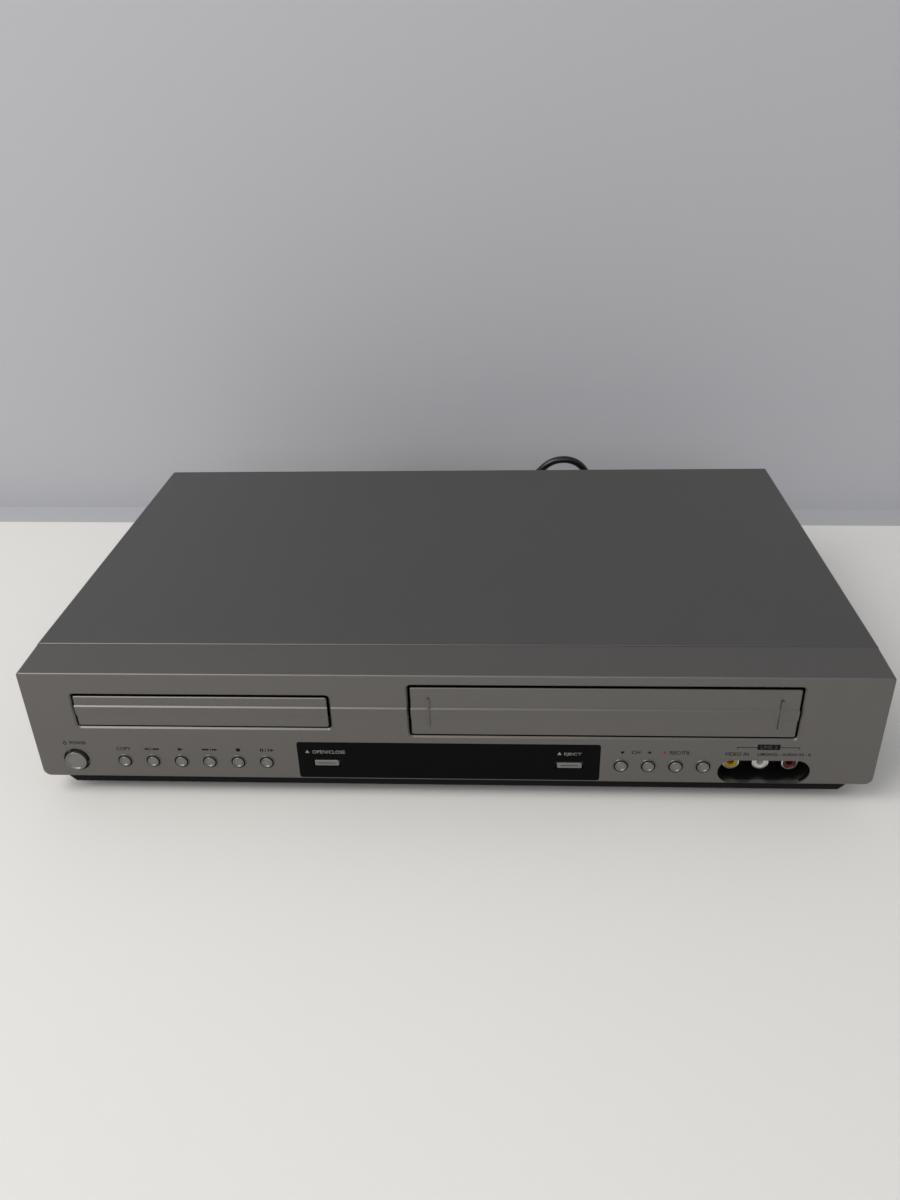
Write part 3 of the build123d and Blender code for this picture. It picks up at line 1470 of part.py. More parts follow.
def main():
    """Write every node."""
    os.makedirs("parts", exist_ok=True)
    save("top_cover", top_cover())
    save("bottom_pan", bottom_pan())
    save("front_bezel", front_bezel())
    save("display_window", display_window())
    save("rear_panel", rear_panel())
    save("feet", feet())
    save("case_screws", case_screws())
    save("mech_screws", mech_screws())
    save("power_button", round_button(power_x, power_z, power_radius, power_proud, power_rim))
    for name, x, z in button_places():
        save(name, round_button(x, z, button_radius, button_proud, button_rim))
    save("open_button", bar_button(open_x))
    save("eject_button", bar_button(eject_x))
    save("front_board", group([front_board(), jack_board()]))
    save("jack_recess", jack_recess())
    jack_names = ("video_jack", "left_audio_jack", "right_audio_jack")
    for name, x in zip(jack_names, front_jack_xs()):
        save(name, jack_insert(x, recess_z, front + front_jack_face, front_seat))
    save("jack_sleeves", jack_sleeves())
    save("rear_jack_block", rear_jack_block())
    save("rear_jack_inserts", rear_jack_inserts())
    save("rf_tuner", rf_tuner())
    save("main_board", main_board())
    save("power_board", power_board())
    save("disc_tray", disc_tray())
    save("tray_fascia", tray_fascia())
    save("tray_gear", tray_gear())
    save("motor_gear", motor_gear())
    save("tray_motor", tray_motor())
    save("loader_frame", loader_frame())
    save("traverse_plate", traverse_plate())
    save("sled_rods", sled_rods())
    save("pickup_sled", pickup_sled())
    save("turntable", turntable())
    save("disc_clamp", disc_clamp())
    save("cassette_door", cassette_door())
    save("door_spring", door_spring())
    save("deck_plate", deck_plate())
    save("supply_reel", reel(tape_x - reel_spacing / 2))
    save("takeup_reel", reel(tape_x + reel_spacing / 2))
    save("lower_drum", lower_drum())
    save("upper_drum", upper_drum())
    save("capstan", capstan())
    save("pinch_arm", pinch_arm())
    save("pinch_roller", pinch_roller())
    save("basket_frame", basket_frame())
    save("basket_carriage", basket_carriage())
    save("cassette_basket", cassette_basket())
    save("cord_gland", cord_gland())
    save("power_cord", power_cord())
    save("cord_coil", cord_coil())
    save("power_plug", power_plug())


main()
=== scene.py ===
import bpy
import json
from math import cos, pi, radians, sin
from mathutils import Matrix, Vector


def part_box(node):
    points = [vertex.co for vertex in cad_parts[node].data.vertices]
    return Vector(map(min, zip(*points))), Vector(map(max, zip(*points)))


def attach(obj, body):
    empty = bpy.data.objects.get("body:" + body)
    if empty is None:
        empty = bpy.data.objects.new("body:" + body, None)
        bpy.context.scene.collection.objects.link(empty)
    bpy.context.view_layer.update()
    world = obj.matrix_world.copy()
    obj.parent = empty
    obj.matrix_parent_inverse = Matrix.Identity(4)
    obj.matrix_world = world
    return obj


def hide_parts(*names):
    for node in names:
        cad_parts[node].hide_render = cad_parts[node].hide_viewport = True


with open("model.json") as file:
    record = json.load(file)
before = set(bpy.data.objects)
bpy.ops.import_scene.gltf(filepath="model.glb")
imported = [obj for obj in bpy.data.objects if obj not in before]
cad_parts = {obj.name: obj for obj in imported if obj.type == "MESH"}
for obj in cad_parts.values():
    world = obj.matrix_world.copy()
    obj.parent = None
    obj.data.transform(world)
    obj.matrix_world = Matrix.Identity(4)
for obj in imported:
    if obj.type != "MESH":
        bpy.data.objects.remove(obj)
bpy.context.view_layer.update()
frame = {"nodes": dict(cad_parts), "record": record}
nodes = frame["nodes"]
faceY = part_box("display_window")[0][1]  # front face of the cabinet
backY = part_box("top_cover")[1][1]  # back edge of the cover
standing = (pi / 2, 0, 0)  # turns what is drawn flat up, to face the viewer
print("frame loaded:", len(nodes), "nodes")


# camera: metres from the middle of the front face at floor height, angles in radians, lens and film in mm
camera = {"right": 0.028556, "ahead": -0.390824, "up": 0.338792,
          "turn": -0.06381, "tilt": 0.51033, "roll": -0.02997, "lens": 28.98, "film": 36}


def makeCamera(view):
    turn, tilt, roll = view["turn"], view["tilt"], view["roll"]
    look = Vector((sin(turn) * cos(tilt), cos(turn) * cos(tilt), -sin(tilt)))
    level = Vector((cos(turn), -sin(turn), 0))
    square = level.cross(look)  # points up, square to both
    right = cos(roll) * level + sin(roll) * square
    up = -sin(roll) * level + cos(roll) * square
    data = bpy.data.cameras.new("camera")
    data.lens = view["lens"]
    data.sensor_width = view["film"]
    data.sensor_fit = "AUTO"
    data.dof.use_dof = False
    eye = bpy.data.objects.new("camera", data)
    bpy.context.scene.collection.objects.link(eye)
    turned = Matrix((right, up, -look)).transposed().to_4x4()
    eye.matrix_world = Matrix.Translation((view["right"], faceY + view["ahead"], view["up"])) @ turned
    bpy.context.scene.camera = eye


makeCamera(camera)
print("camera set")


# one step of arithmetic in a material; a value is a number or another step's output
def mathStep(tree, kind, *values):
    node = tree.nodes.new("ShaderNodeMath")
    node.operation = kind
    for i, value in enumerate(values):
        if isinstance(value, (int, float)):
            node.inputs[i].default_value = value
        else:
            tree.links.new(value, node.inputs[i])
    return node.outputs[0]


def objectAxes(tree):
    place = tree.nodes.new("ShaderNodeTexCoord")
    axes = tree.nodes.new("ShaderNodeSeparateXYZ")
    tree.links.new(place.outputs["Object"], axes.inputs[0])
    return axes.outputs


# another colour where the mask is 1
def tintWhere(finish, mask, color):
    tree = finish.node_tree
    shader = tree.nodes["Principled BSDF"]
    mix = tree.nodes.new("ShaderNodeMix")
    mix.data_type = "RGBA"
    tree.links.new(mask, mix.inputs["Factor"])
    tree.links.new(shader.inputs["Base Color"].links[0].from_socket, mix.inputs["A"])
    mix.inputs["B"].default_value = (*color, 1)
    tree.links.new(mix.outputs["Result"], shader.inputs["Base Color"])


# how a material gets its small variations: grain, smudges, dust on top and a height for bump
surface = {"grainDetail": 2, "smudgeDetail": 5, "smudgeRoughness": 0.6, "dustColor": (0.42, 0.41, 0.39, 1)}


def makeSurfaceGroup(life):
    group = bpy.data.node_groups.new("surfaceLife", "ShaderNodeTree")
    face = group.interface
    face.new_socket("Color", in_out="INPUT", socket_type="NodeSocketColor")
    for name in ("Grain Scale", "Grain", "Smudge Scale", "Smudge", "Roughness", "Dust"):
        face.new_socket(name, in_out="INPUT", socket_type="NodeSocketFloat")
    face.new_socket("Color", in_out="OUTPUT", socket_type="NodeSocketColor")
    face.new_socket("Roughness", in_out="OUTPUT", socket_type="NodeSocketFloat")
    face.new_socket("Height", in_out="OUTPUT", socket_type="NodeSocketFloat")
    add, link = group.nodes.new, group.links.new
    given = add("NodeGroupInput")
    made = add("NodeGroupOutput")
    place = add("ShaderNodeTexCoord")
    grain = add("ShaderNodeTexNoise")
    grain.inputs["Detail"].default_value = life["grainDetail"]
    smudge = add("ShaderNodeTexNoise")
    smudge.inputs["Detail"].default_value = life["smudgeDetail"]
    smudge.inputs["Roughness"].default_value = life["smudgeRoughness"]
    for noise, scale in ((grain, "Grain Scale"), (smudge, "Smudge Scale")):
        link(place.outputs["Object"], noise.inputs["Vector"])
        link(given.outputs[scale], noise.inputs["Scale"])

    # grain and smudges make the colour lighter and darker
    grainOff = mathStep(group, "SUBTRACT", grain.outputs["Fac"], 0.5)
    smudgeOff = mathStep(group, "SUBTRACT", smudge.outputs["Fac"], 0.5)
    tint = mathStep(group, "MULTIPLY_ADD", grainOff, given.outputs["Grain"], 1.0)
    tint = mathStep(group, "MULTIPLY_ADD", smudgeOff, given.outputs["Smudge"], tint)
    scaled = add("ShaderNodeVectorMath")
    scaled.operation = "SCALE"
    link(given.outputs["Color"], scaled.inputs[0])
    link(tint, scaled.inputs["Scale"])

    # dust lies on what faces up
    upward = add("ShaderNodeSeparateXYZ")
    shape = add("ShaderNodeNewGeometry")
    link(shape.outputs["Normal"], upward.inputs[0])
    lying = mathStep(group, "MAXIMUM", upward.outputs["Z"], 0.0)
    speck = mathStep(group, "MULTIPLY", lying, smudge.outputs["Fac"])
    dustMask = mathStep(group, "MULTIPLY", speck, given.outputs["Dust"])
    mix = add("ShaderNodeMix")
    mix.data_type = "RGBA"
    link(dustMask, mix.inputs["Factor"])
    link(scaled.outputs[0], mix.inputs["A"])
    mix.inputs["B"].default_value = life["dustColor"]
    link(mix.outputs["Result"], made.inputs["Color"])

    rough = mathStep(group, "MULTIPLY_ADD", smudgeOff, given.outputs["Smudge"], given.outputs["Roughness"])
    link(rough, made.inputs["Roughness"])
    link(grain.outputs["Fac"], made.inputs["Height"])
    return group


surfaceLife = makeSurfaceGroup(surface)


def makeFinish(name, color, roughness, metallic=0.0, specular=0.5, grainScale=900, grain=0.1,
               smudgeScale=14, smudge=0.1, dust=0.0, bump=0.05, bumpDistance=0.00005):
    finish = bpy.data.materials.new(name)
    finish.use_nodes = True
    tree = finish.node_tree
    shader = tree.nodes["Principled BSDF"]
    shader.inputs["Metallic"].default_value = metallic
    shader.inputs["Specular IOR Level"].default_value = specular
    life = tree.nodes.new("ShaderNodeGroup")
    life.node_tree = surfaceLife
    for key, value in (("Color", (*color, 1)), ("Grain Scale", grainScale), ("Grain", grain),
                       ("Smudge Scale", smudgeScale), ("Smudge", smudge), ("Roughness", roughness),
                       ("Dust", dust)):
        life.inputs[key].default_value = value
    relief = tree.nodes.new("ShaderNodeBump")
    relief.inputs["Strength"].default_value = bump
    relief.inputs["Distance"].default_value = bumpDistance
    tree.links.new(life.outputs["Height"], relief.inputs["Height"])
    tree.links.new(life.outputs["Color"], shader.inputs["Base Color"])
    tree.links.new(life.outputs["Roughness"], shader.inputs["Roughness"])
    tree.links.new(relief.outputs["Normal"], shader.inputs["Normal"])
    return finish


finishes = {
    "silverPaint": dict(color=(0.156, 0.150, 0.142), roughness=0.40, metallic=0.85, specular=0.3,
                        grainScale=2600, grain=0.22, smudge=0.08, bump=0.12),
    "capPaint": dict(color=(0.21, 0.205, 0.20), roughness=0.34, metallic=0.85, specular=0.3,
                     grainScale=2600, grain=0.15, smudge=0.06),
    "coverPaint": dict(color=(0.125, 0.124, 0.122), roughness=0.42, metallic=0.85, specular=0.3,
                       grainScale=2200, grain=0.16, smudgeScale=9, smudge=0.10, dust=0.02, bump=0.15),
    "blackSteel": dict(color=(0.006, 0.006, 0.006), roughness=0.5, specular=0.08, grain=0.2,
                       smudge=0.15, dust=0.03),
    "rearSteel": dict(color=(0.014, 0.014, 0.015), roughness=0.42, grainScale=700, grain=0.3,
                      smudgeScale=20, smudge=0.25, dust=0.05, bump=0.2),
    "rearCores": dict(color=(0.60, 0.59, 0.55), roughness=0.3, grain=0.05),
    "plainSteel": dict(color=(0.55, 0.56, 0.56), roughness=0.38, metallic=1.0, grainScale=300,
                       smudgeScale=40, smudge=0.2),
    "blackPlastic": dict(color=(0.006, 0.006, 0.006), roughness=0.3, specular=0.4, grainScale=1400,
                         grain=0.3, smudgeScale=60, smudge=0.35, bump=0.2),
    "windowPlastic": dict(color=(0.004, 0.004, 0.004), roughness=0.14, specular=0.03, grain=0.02,
                          smudgeScale=30, smudge=0.06, bump=0.0),
    "footRubber": dict(color=(0.02, 0.02, 0.02), roughness=0.8, grain=0.3, bump=0.3),
    "screwSteel": dict(color=(0.40, 0.40, 0.41), roughness=0.35, metallic=1.0, smudgeScale=300,
                       smudge=0.3),
    "boardGreen": dict(color=(0.03, 0.13, 0.045), roughness=0.4, grainScale=500, grain=0.5,
                       smudgeScale=120, smudge=0.5),
    "nickel": dict(color=(0.72, 0.70, 0.66), roughness=0.2, metallic=1.0, grain=0.05),
    "yellowPlastic": dict(color=(0.42, 0.26, 0.015), roughness=0.3, grain=0.08),
    "whitePlastic": dict(color=(0.66, 0.65, 0.61), roughness=0.3, grain=0.05),
    "redPlastic": dict(color=(0.09, 0.009, 0.010), roughness=0.3, grain=0.08),
    "gearPlastic": dict(color=(0.62, 0.60, 0.53), roughness=0.42, grain=0.08, bump=0.1),
    "loaderPlastic": dict(color=(0.025, 0.025, 0.027), roughness=0.5, grain=0.3, bump=0.25),
    "trayPlastic": dict(color=(0.045, 0.045, 0.047), roughness=0.45, grainScale=1500, grain=0.3,
                        bump=0.3),
    "turnedAluminium": dict(color=(0.75, 0.75, 0.76), roughness=0.22, metallic=1.0, grainScale=200),
    "groundSteel": dict(color=(0.62, 0.62, 0.63), roughness=0.2, metallic=1.0),
    "leadRubber": dict(color=(0.006, 0.006, 0.0065), roughness=0.30, grainScale=700, grain=0.2,
                       smudgeScale=50, smudge=0.2, bump=0.1),
    "darkInk": dict(color=(0.004, 0.004, 0.004), roughness=0.7, specular=0.1, bump=0.0),
    "paleInk": dict(color=(0.24, 0.24, 0.235), roughness=0.7, specular=0.1, bump=0.0),
    "dimInk": dict(color=(0.06, 0.06, 0.06), roughness=0.7, specular=0.1, bump=0.0),
    "redInk": dict(color=(0.26, 0.035, 0.045), roughness=0.7, specular=0.1, bump=0.0),
}
material = {name: makeFinish(name, **values) for name, values in finishes.items()}

finishOfSlot = {"front_paint": "silverPaint", "cover_paint": "coverPaint", "black_steel": "blackSteel",
                "galvanised": "plainSteel", "black_plastic": "blackPlastic",
                "window_plastic": "windowPlastic", "foot_rubber": "footRubber",
                "screw_steel": "screwSteel", "board": "boardGreen", "nickel": "nickel",
                "yellow_plastic": "yellowPlastic", "white_plastic": "whitePlastic",
                "red_plastic": "redPlastic", "gear_plastic": "gearPlastic",
                "loader_plastic": "loaderPlastic", "tray_plastic": "trayPlastic",
                "drum_aluminium": "turnedAluminium", "shaft_steel": "groundSteel",
                "pinch_rubber": "footRubber", "cord_rubber": "leadRubber"}

# pieces whose finish isn't their slot's own
finishOfNode = {"rear_panel": "rearSteel", "rear_jack_inserts": "rearCores"}
finishOfNode.update({name: "capPaint" for name in nodes if name.endswith("_button")})


def paintNodes():
    slotOfNode = {part["node"]: part["material_slot"] for part in frame["record"]["subparts"]}
    for name, node in nodes.items():
        finish = finishOfNode.get(name, finishOfSlot[slotOfNode[name]])
        node.data.materials.clear()
        node.data.materials.append(material[finish])


paintNodes()


# painted shade: behind the front's face and within its walls the bezel is coloured near black, so its
# openings, gaps and button holes read as deep shade
insideShade = {"behind": 0.0009, "side": 0.0015, "bottom": 0.0012, "top": 0.0047, "color": (0.004, 0.004, 0.004)}


def paintShadeInside(finish, wall):
    low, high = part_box("front_bezel")
    tree = finish.node_tree
    x, y, z = objectAxes(tree)
    inside = mathStep(tree, "GREATER_THAN", y, faceY + wall["behind"])
    for limit in (mathStep(tree, "LESS_THAN", mathStep(tree, "ABSOLUTE", x), high[0] - wall["side"]),
                  mathStep(tree, "GREATER_THAN", z, low[2] + wall["bottom"]),
                  mathStep(tree, "LESS_THAN", z, high[2] - wall["top"])):
        inside = mathStep(tree, "MULTIPLY", inside, limit)
    # painted shade: near black where the mask is 1
    tintWhere(finish, inside, wall["color"])


paintShadeInside(material["silverPaint"], insideShade)


# three rows of rear sockets: yellow above, white in the middle, red below
rearRows = {"top": (0.46, 0.29, 0.015), "bottom": (0.16, 0.012, 0.012)}


def colorRows(finish, rows):
    low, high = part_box("rear_jack_inserts")
    rowHigh = (high[2] - low[2]) / 3
    tree = finish.node_tree
    z = objectAxes(tree)["Z"]
    tintWhere(finish, mathStep(tree, "LESS_THAN", z, low[2] + rowHigh), rows["bottom"])
    tintWhere(finish, mathStep(tree, "GREATER_THAN", z, high[2] - rowHigh), rows["top"])


colorRows(material["rearCores"], rearRows)
print("materials made:", len(material))


# mains lead: one line from the gland, over its hump, down to the floor and round the coil
lead = {"width": 0.0054, "length": 1.56, "coilRight": -0.040, "coilBehind": 0.055,
        "coilRadius": 0.040, "pitch": 0.0059, "layer": 0.0059, "halfTurns": 6, "steps": 8,
        "leave": 0.006, "tail": 0.030, "order": 3, "smooth": 5, "roundness": 4}
leadRoute = [(92.0, 20.0, 18.0), (92.0, 36.0, 18.0), (93.0, 47.0, 29.0), (93.5, 47.5, 44.0),
             (92.5, 46.0, 59.3), (80.8, 44.0, 69.9), (65.0, 43.5, 69.2), (54.0, 44.0, 58.4),
             (44.0, 48.0, 45.0), (34.0, 56.0, 31.0), (22.0, 67.0, 18.0), (7.0, 79.0, 8.5),
             (-8.0, 89.5, 3.4), (-22.0, 95.0, 2.7), (-34.6, 95.0, 2.7)]  # mm, behind the cover


# half turns that shrink towards the middle, step up to the second layer there and grow again
def coilPoints(coil):
    low = coil["width"] / 2
    high = low + coil["layer"]
    points = []
    y = backY + coil["coilBehind"] + coil["coilRadius"]
    step = pi / coil["steps"]
    for turn in range(2 * coil["halfTurns"] + 1):
        inward = min(turn, 2 * coil["halfTurns"] - turn)
        radius = coil["coilRadius"] - inward * coil["pitch"] / 2
        side = 1 if turn % 2 == 0 else -1  # 1 starts at the rear and heads left
        for i in range(coil["steps"]):
            angle = (i + 0.5) * step
            share = (i + 0.5) / coil["steps"]
            rise = 0 if turn < coil["halfTurns"] else 1
            if turn == coil["halfTurns"]:
                rise = (1 - cos(pi * share)) / 2
            reach = radius / cos(step / 2)
            middle = y - side * radius
            points.append((coil["coilRight"] - side * reach * sin(angle),
                           middle + side * reach * cos(angle), low + rise * coil["layer"]))
        y -= 2 * side * radius
    points.append((coil["coilRight"] + coil["leave"], y, high))
    points.append((coil["coilRight"] + coil["tail"], y, high))
    return points


def makeLead(cord):
    route = [(x / 1000, backY + y / 1000, z / 1000) for x, y, z in leadRoute] + coilPoints(cord)
    data = bpy.data.curves.new("mains_lead", "CURVE")
    data.dimensions = "3D"
    line = data.splines.new("NURBS")
    line.points.add(len(route) - 1)
    for point, place in zip(line.points, route):
        point.co = (*place, 1)
    line.order_u = cord["order"]
    line.use_endpoint_u = True
    line.resolution_u = cord["smooth"]
    data.bevel_depth = cord["width"] / 2
    data.bevel_resolution = cord["roundness"]
    data.use_fill_caps = True
    piece = bpy.data.objects.new("mains_lead", data)
    bpy.context.scene.collection.objects.link(piece)
    data.materials.append(material["leadRubber"])
    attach(piece, "cabinet")
    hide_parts("power_cord", "cord_coil")


makeLead(lead)
print("mains lead laid")


# small helpers for modelling
def clearSelection():
    bpy.ops.object.select_all(action="DESELECT")


def pick(piece):
    clearSelection()
    piece.select_set(True)
    bpy.context.view_layer.objects.active = piece


def settle(piece, name, body, finish):
    pick(piece)
    bpy.ops.object.transform_apply(location=True, rotation=True, scale=True)
    piece.name = name
    piece.data.name = name
    piece.data.materials.clear()
    piece.data.materials.append(material[finish])
    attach(piece, body)


# printed marks: x from the middle of the face and z up from the floor in millimetres, like all their sizes
ink = {"thick": 0.00004, "bold": 0.009, "smooth": 3}  # thickness in metres
triangle = {"wide": 1732, "high": 1500}  # size in millimetres of one with a radius of a metre


def markTriangle(x, z, wide, high, turn):
    bpy.ops.mesh.primitive_circle_add(vertices=3, radius=1, fill_type="NGON",
                                      location=(x / 1000, faceY, z / 1000),
                                      rotation=(pi / 2, radians(turn), 0))
    piece = bpy.context.object
    across, along = (high, wide) if turn in (90, -90) else (wide, high)
    piece.scale = (across / triangle["wide"], along / triangle["high"], 1)
    return piece


def markBar(x, z, wide, high, lean=0):
    bpy.ops.mesh.primitive_plane_add(size=1, location=(x / 1000, faceY, z / 1000),
                                     rotation=(pi / 2, radians(lean), 0))
    piece = bpy.context.object
    piece.scale = (wide / 1000, high / 1000, 1)
    return piece


def markDisc(x, z, radius):
    bpy.ops.mesh.primitive_circle_add(vertices=24, radius=radius / 1000, fill_type="NGON",
                                      location=(x / 1000, faceY, z / 1000), rotation=standing)
    return bpy.context.object


def markRing(x, z, radius, line):
    piece = markDisc(x, z, radius)
    pick(piece)
    bpy.ops.object.mode_set(mode="EDIT")
    bpy.ops.mesh.select_all(action="SELECT")
    bpy.ops.mesh.inset(thickness=line / 1000)
    bpy.ops.mesh.delete(type="FACE")  # the inset leaves the inner disc selected
    bpy.ops.object.mode_set(mode="OBJECT")
    return piece


def markWord(text, x, z, wide, high, lift=0.0):
    bpy.ops.object.text_add(location=(0, 0, 0))
    piece = bpy.context.object
    piece.data.body = text
    piece.data.align_x = "CENTER"
    piece.data.align_y = "CENTER"
    piece.data.resolution_u = ink["smooth"]
    piece.data.offset = ink["bold"]
    bpy.ops.object.convert(target="MESH")
    piece = bpy.context.object
    piece.scale = (wide / 1000 / piece.dimensions.x, high / 1000 / piece.dimensions.y, 1)
    piece.rotation_euler = standing
    piece.location = (x / 1000, faceY - lift, z / 1000)
    return piece


# joins the marks, puts the piece on its body and gives the ink its thickness
def printMarks(pieces, name, body, finish):
    clearSelection()
    for piece in pieces:
        piece.select_set(True)
    bpy.context.view_layer.objects.active = pieces[0]
    if len(pieces) > 1:
        bpy.ops.object.join()
    joined = bpy.context.object
    settle(joined, name, body, finish)
    raised = joined.modifiers.new("thickness", "SOLIDIFY")
    raised.thickness = ink["thick"]
    raised.offset = 1
    bpy.ops.object.modifier_apply(modifier=raised.name)


row = {"button": 30.7, "power": 34.2, "channel": 31.6, "record": 31.5, "socket": 31.1, "bracket": 35.5,
       "hook": 35.0, "badge": 35.7}  # heights of the rows of marks
thin = 0.34  # line width of the ring, its stroke and the bracket
frontMarks = {
    "words": [dict(text="COPY", x=-168.7, z=row["button"], wide=7.5, high=2.1),
              dict(text="POWER", x=-192.2, z=row["power"], wide=8.6, high=2.0),
              dict(text="CH", x=95.2, z=row["channel"], wide=4.3, high=2.1),
              dict(text="REC/ITR", x=116.9, z=row["record"], wide=9.9, high=2.1),
              dict(text="VIDEO IN", x=145.3, z=row["socket"], wide=11.9, high=2.1),
              dict(text="L(MONO) - AUDIO IN - R", x=168.5, z=row["socket"], wide=26.4, high=2.2)],
    "heads": [dict(x=-138.9, z=row["button"], wide=2.7, high=2.1, turn=90),  # play
              dict(x=88.4, z=row["channel"], wide=2.3, high=1.7, turn=180),  # channel down
              dict(x=102.0, z=row["channel"], wide=2.3, high=1.7, turn=0)],  # channel up
    "bars": [dict(x=-108.3, z=row["button"], wide=2.1, high=1.9),  # stop
             dict(x=150.0, z=row["bracket"], wide=9.8, high=thin),  # bracket over the sockets
             dict(x=170.9, z=row["bracket"], wide=9.4, high=thin),
             dict(x=145.1, z=row["hook"], wide=thin, high=1.2),  # its turned-down ends
             dict(x=175.6, z=row["hook"], wide=thin, high=1.2),
             dict(x=160.5, z=row["badge"], wide=11.2, high=3.3)],  # badge in its middle
    "skips": [dict(x=-153.7, z=row["button"], way=-1),  # rewind
              dict(x=-123.4, z=row["button"], way=1)],  # forward
    "pause": dict(x=-93.5, z=row["button"]),
    "power": dict(x=-199.1, z=row["power"]),
    "dot": dict(x=109.6, z=row["record"], radius=0.9)}  # red
windowMarks = {
    "words": [dict(text="OPEN/CLOSE", x=-61.2, z=29.8, wide=16.9, high=2.1),
              dict(text="EJECT", x=63.5, z=30.1, wide=8.8, high=2.1)],
    "heads": [dict(x=-72.3, z=29.9, wide=2.2, high=1.9, turn=0),
              dict(x=56.8, z=30.2, wide=2.2, high=1.9, turn=0)]}
badgeWord = dict(text="LINE 2", x=160.5, z=row["badge"], wide=8.2, high=2.0, lift=ink["thick"])

# parts of the signs, from each sign's own middle
slash = {"wide": 0.3, "lean": 20}
skipSign = {"heads": (-3.2, -2.0, -0.9, 2.0, 3.2), "wide": 1.7, "high": 1.36, "slash": 0.6,
            "slashHigh": 2.04}
pauseSign = {"bars": (-3.0, -2.0, 1.2), "barWide": 0.65, "high": 1.8, "head": 2.7, "slash": -0.5,
             "slashHigh": 2.1}
powerSign = {"radius": 1.0, "drop": 0.1, "stroke": 0.8, "strokeHigh": 1.2}


# three small arrowheads, a slash and two more
def skipMark(x, z, way):
    pieces = [markTriangle(x + way * off, z, skipSign["wide"], skipSign["high"], 90 * way)
              for off in skipSign["heads"]]
    pieces.append(markBar(x + way * skipSign["slash"], z, slash["wide"], skipSign["slashHigh"],
                          slash["lean"]))
    return pieces


# two bars, a slash, then a bar and an arrowhead
def pauseMark(x, z):
    pieces = [markBar(x + off, z, pauseSign["barWide"], pauseSign["high"]) for off in pauseSign["bars"]]
    pieces.append(markTriangle(x + pauseSign["head"], z, pauseSign["high"], pauseSign["high"], 90))
    pieces.append(markBar(x + pauseSign["slash"], z, slash["wide"], pauseSign["slashHigh"], slash["lean"]))
    return pieces


# a ring with a stroke through its top
def powerMark(x, z):
    ring = markRing(x, z - powerSign["drop"], powerSign["radius"], thin)
    return [ring, markBar(x, z + powerSign["stroke"], thin, powerSign["strokeHigh"])]


def makeFrontMarks(marks):
    pieces = [markWord(**word) for word in marks["words"]]
    pieces += [markTriangle(**head) for head in marks["heads"]]
    pieces += [markBar(**bar) for bar in marks["bars"]]
    for values in marks["skips"]:
        pieces += skipMark(**values)
    pieces += pauseMark(**marks["pause"]) + powerMark(**marks["power"])
    printMarks(pieces, "front_marks", "cabinet", "darkInk")
    printMarks([markDisc(**marks["dot"])], "record_dot", "cabinet", "redInk")


def makeWindowMarks(marks):
    pieces = [markTriangle(**head) for head in marks["heads"]]
    pieces += [markWord(**word) for word in marks["words"]]
    printMarks(pieces, "window_marks", "cabinet", "paleInk")


clearSelection()
makeFrontMarks(frontMarks)
makeWindowMarks(windowMarks)
printMarks([markWord(**badgeWord)], "line_mark", "cabinet", "dimInk")
print("front marks printed")


# floor, wall and light
stage = {"wallBehind": 0.110, "wallTurn": -0.0184, "wallHigh": 2.0, "floorHalf": 3.0,
         "footBehindFace": 0.343,
         "floor": dict(color=(0.80, 0.785, 0.755), roughness=0.6, specular=0.2, grainScale=400, grain=0.01,
                       smudgeScale=3, smudge=0.02, bump=0.0),
         "wall": dict(color=(0.46, 0.465, 0.49), roughness=0.7, specular=0.2, grainScale=300, grain=0.01,
                      smudgeScale=4, smudge=0.04, bump=0.0)}


# the wall's colour runs out over the floor, to where the photograph shows its foot
def makeFloor(room):
    paint = makeFinish("floorPaint", **room["floor"])
    tree = paint.node_tree
    x, y, z = objectAxes(tree)
    foot = mathStep(tree, "MULTIPLY_ADD", x, room["wallTurn"], faceY + room["footBehindFace"])
    tintWhere(paint, mathStep(tree, "GREATER_THAN", y, foot), room["wall"]["color"])
    bpy.ops.mesh.primitive_plane_add(size=2 * room["floorHalf"], location=(0, 0, 0))
    floor = bpy.context.object
    floor.name = "floor"
    floor.data.materials.append(paint)
    return floor


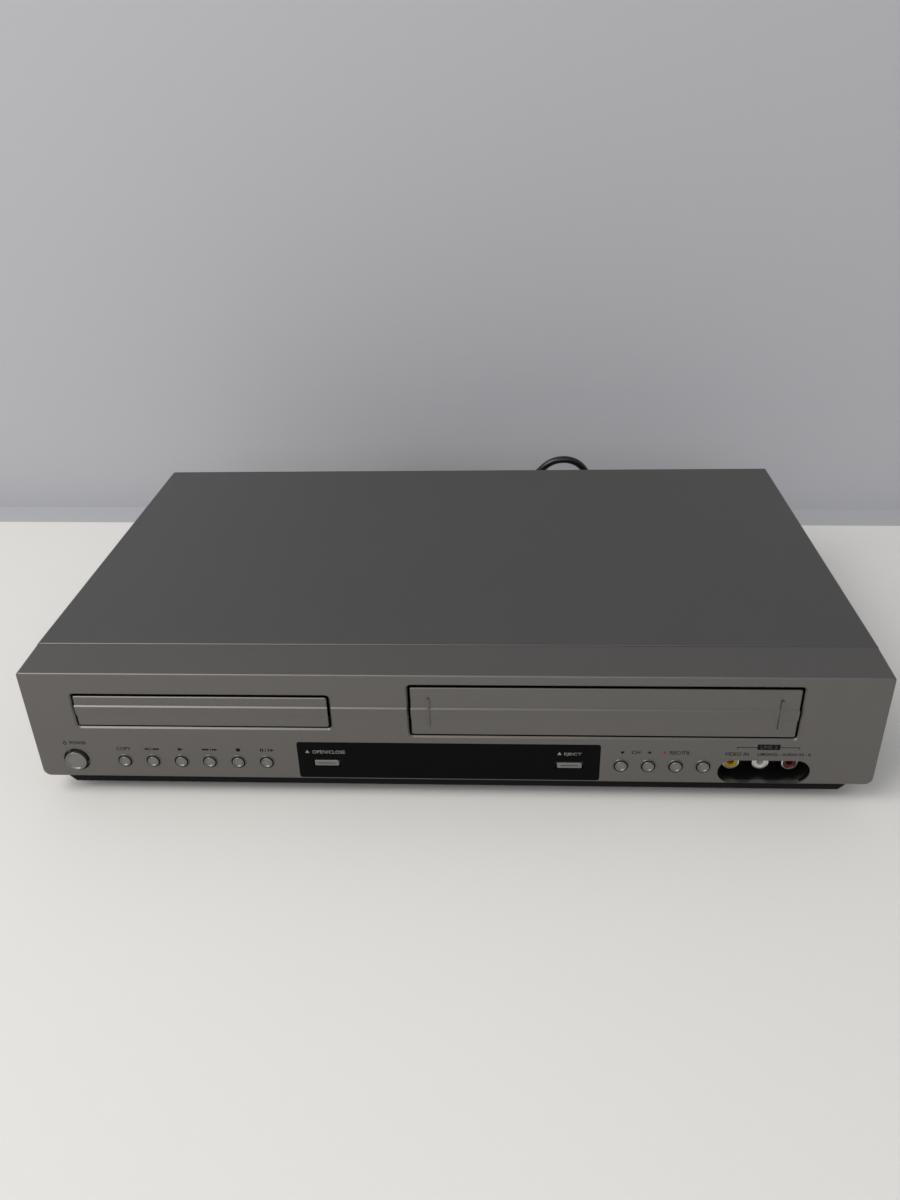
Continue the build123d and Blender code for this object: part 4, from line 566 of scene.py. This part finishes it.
# the wall can be looked through from behind
def makeWall(room):
    paint = makeFinish("wallPaint", **room["wall"])
    tree = paint.node_tree
    seeThrough = tree.nodes.new("ShaderNodeBsdfTransparent")
    side = tree.nodes.new("ShaderNodeNewGeometry")
    mix = tree.nodes.new("ShaderNodeMixShader")
    tree.links.new(side.outputs["Backfacing"], mix.inputs[0])
    tree.links.new(tree.nodes["Principled BSDF"].outputs[0], mix.inputs[1])
    tree.links.new(seeThrough.outputs[0], mix.inputs[2])
    tree.links.new(mix.outputs[0], tree.nodes["Material Output"].inputs["Surface"])
    bpy.ops.mesh.primitive_plane_add(size=1, rotation=(pi / 2, 0, room["wallTurn"]),
                                     location=(0, backY + room["wallBehind"], room["wallHigh"] / 2))
    wall = bpy.context.object
    wall.scale = (2 * room["floorHalf"], room["wallHigh"], 1)
    wall.name = "wall"
    wall.data.materials.append(paint)
    return wall


makeFloor(stage)
makeWall(stage)


lights = {"over": dict(place=(-1.2, -0.9, 1.7), aim=(-0.1, 0.0, 0), size=(1.5, 1.5), power=30,
                       color=(1, 0.975, 0.945)),
          "ahead": dict(place=(0.0, -2.2, 1.2), aim=(0, 0.2, 0.3), size=(1.8, 1.4), power=12,
                        color=(1, 0.98, 0.97))}
daylight = {"color": (0.93, 0.96, 1.0, 1), "strength": 0.40}  # from all round


def makeLight(name, place, aim, size, power, color):
    data = bpy.data.lights.new(name, "AREA")
    data.shape = "RECTANGLE"
    data.size, data.size_y = size
    data.energy = power
    data.color = color
    lamp = bpy.data.objects.new(name, data)
    bpy.context.scene.collection.objects.link(lamp)
    lamp.location = place
    lamp.rotation_euler = (Vector(aim) - Vector(place)).to_track_quat("-Z", "Y").to_euler()


def makeWorld(around):
    world = bpy.data.worlds.new("world")
    world.use_nodes = True
    background = world.node_tree.nodes["Background"]
    background.inputs["Color"].default_value = around["color"]
    background.inputs["Strength"].default_value = around["strength"]
    bpy.context.scene.world = world


for name, values in lights.items():
    makeLight(name, **values)
makeWorld(daylight)
bpy.context.scene.view_settings.view_transform = "Standard"
print("stage and light set")
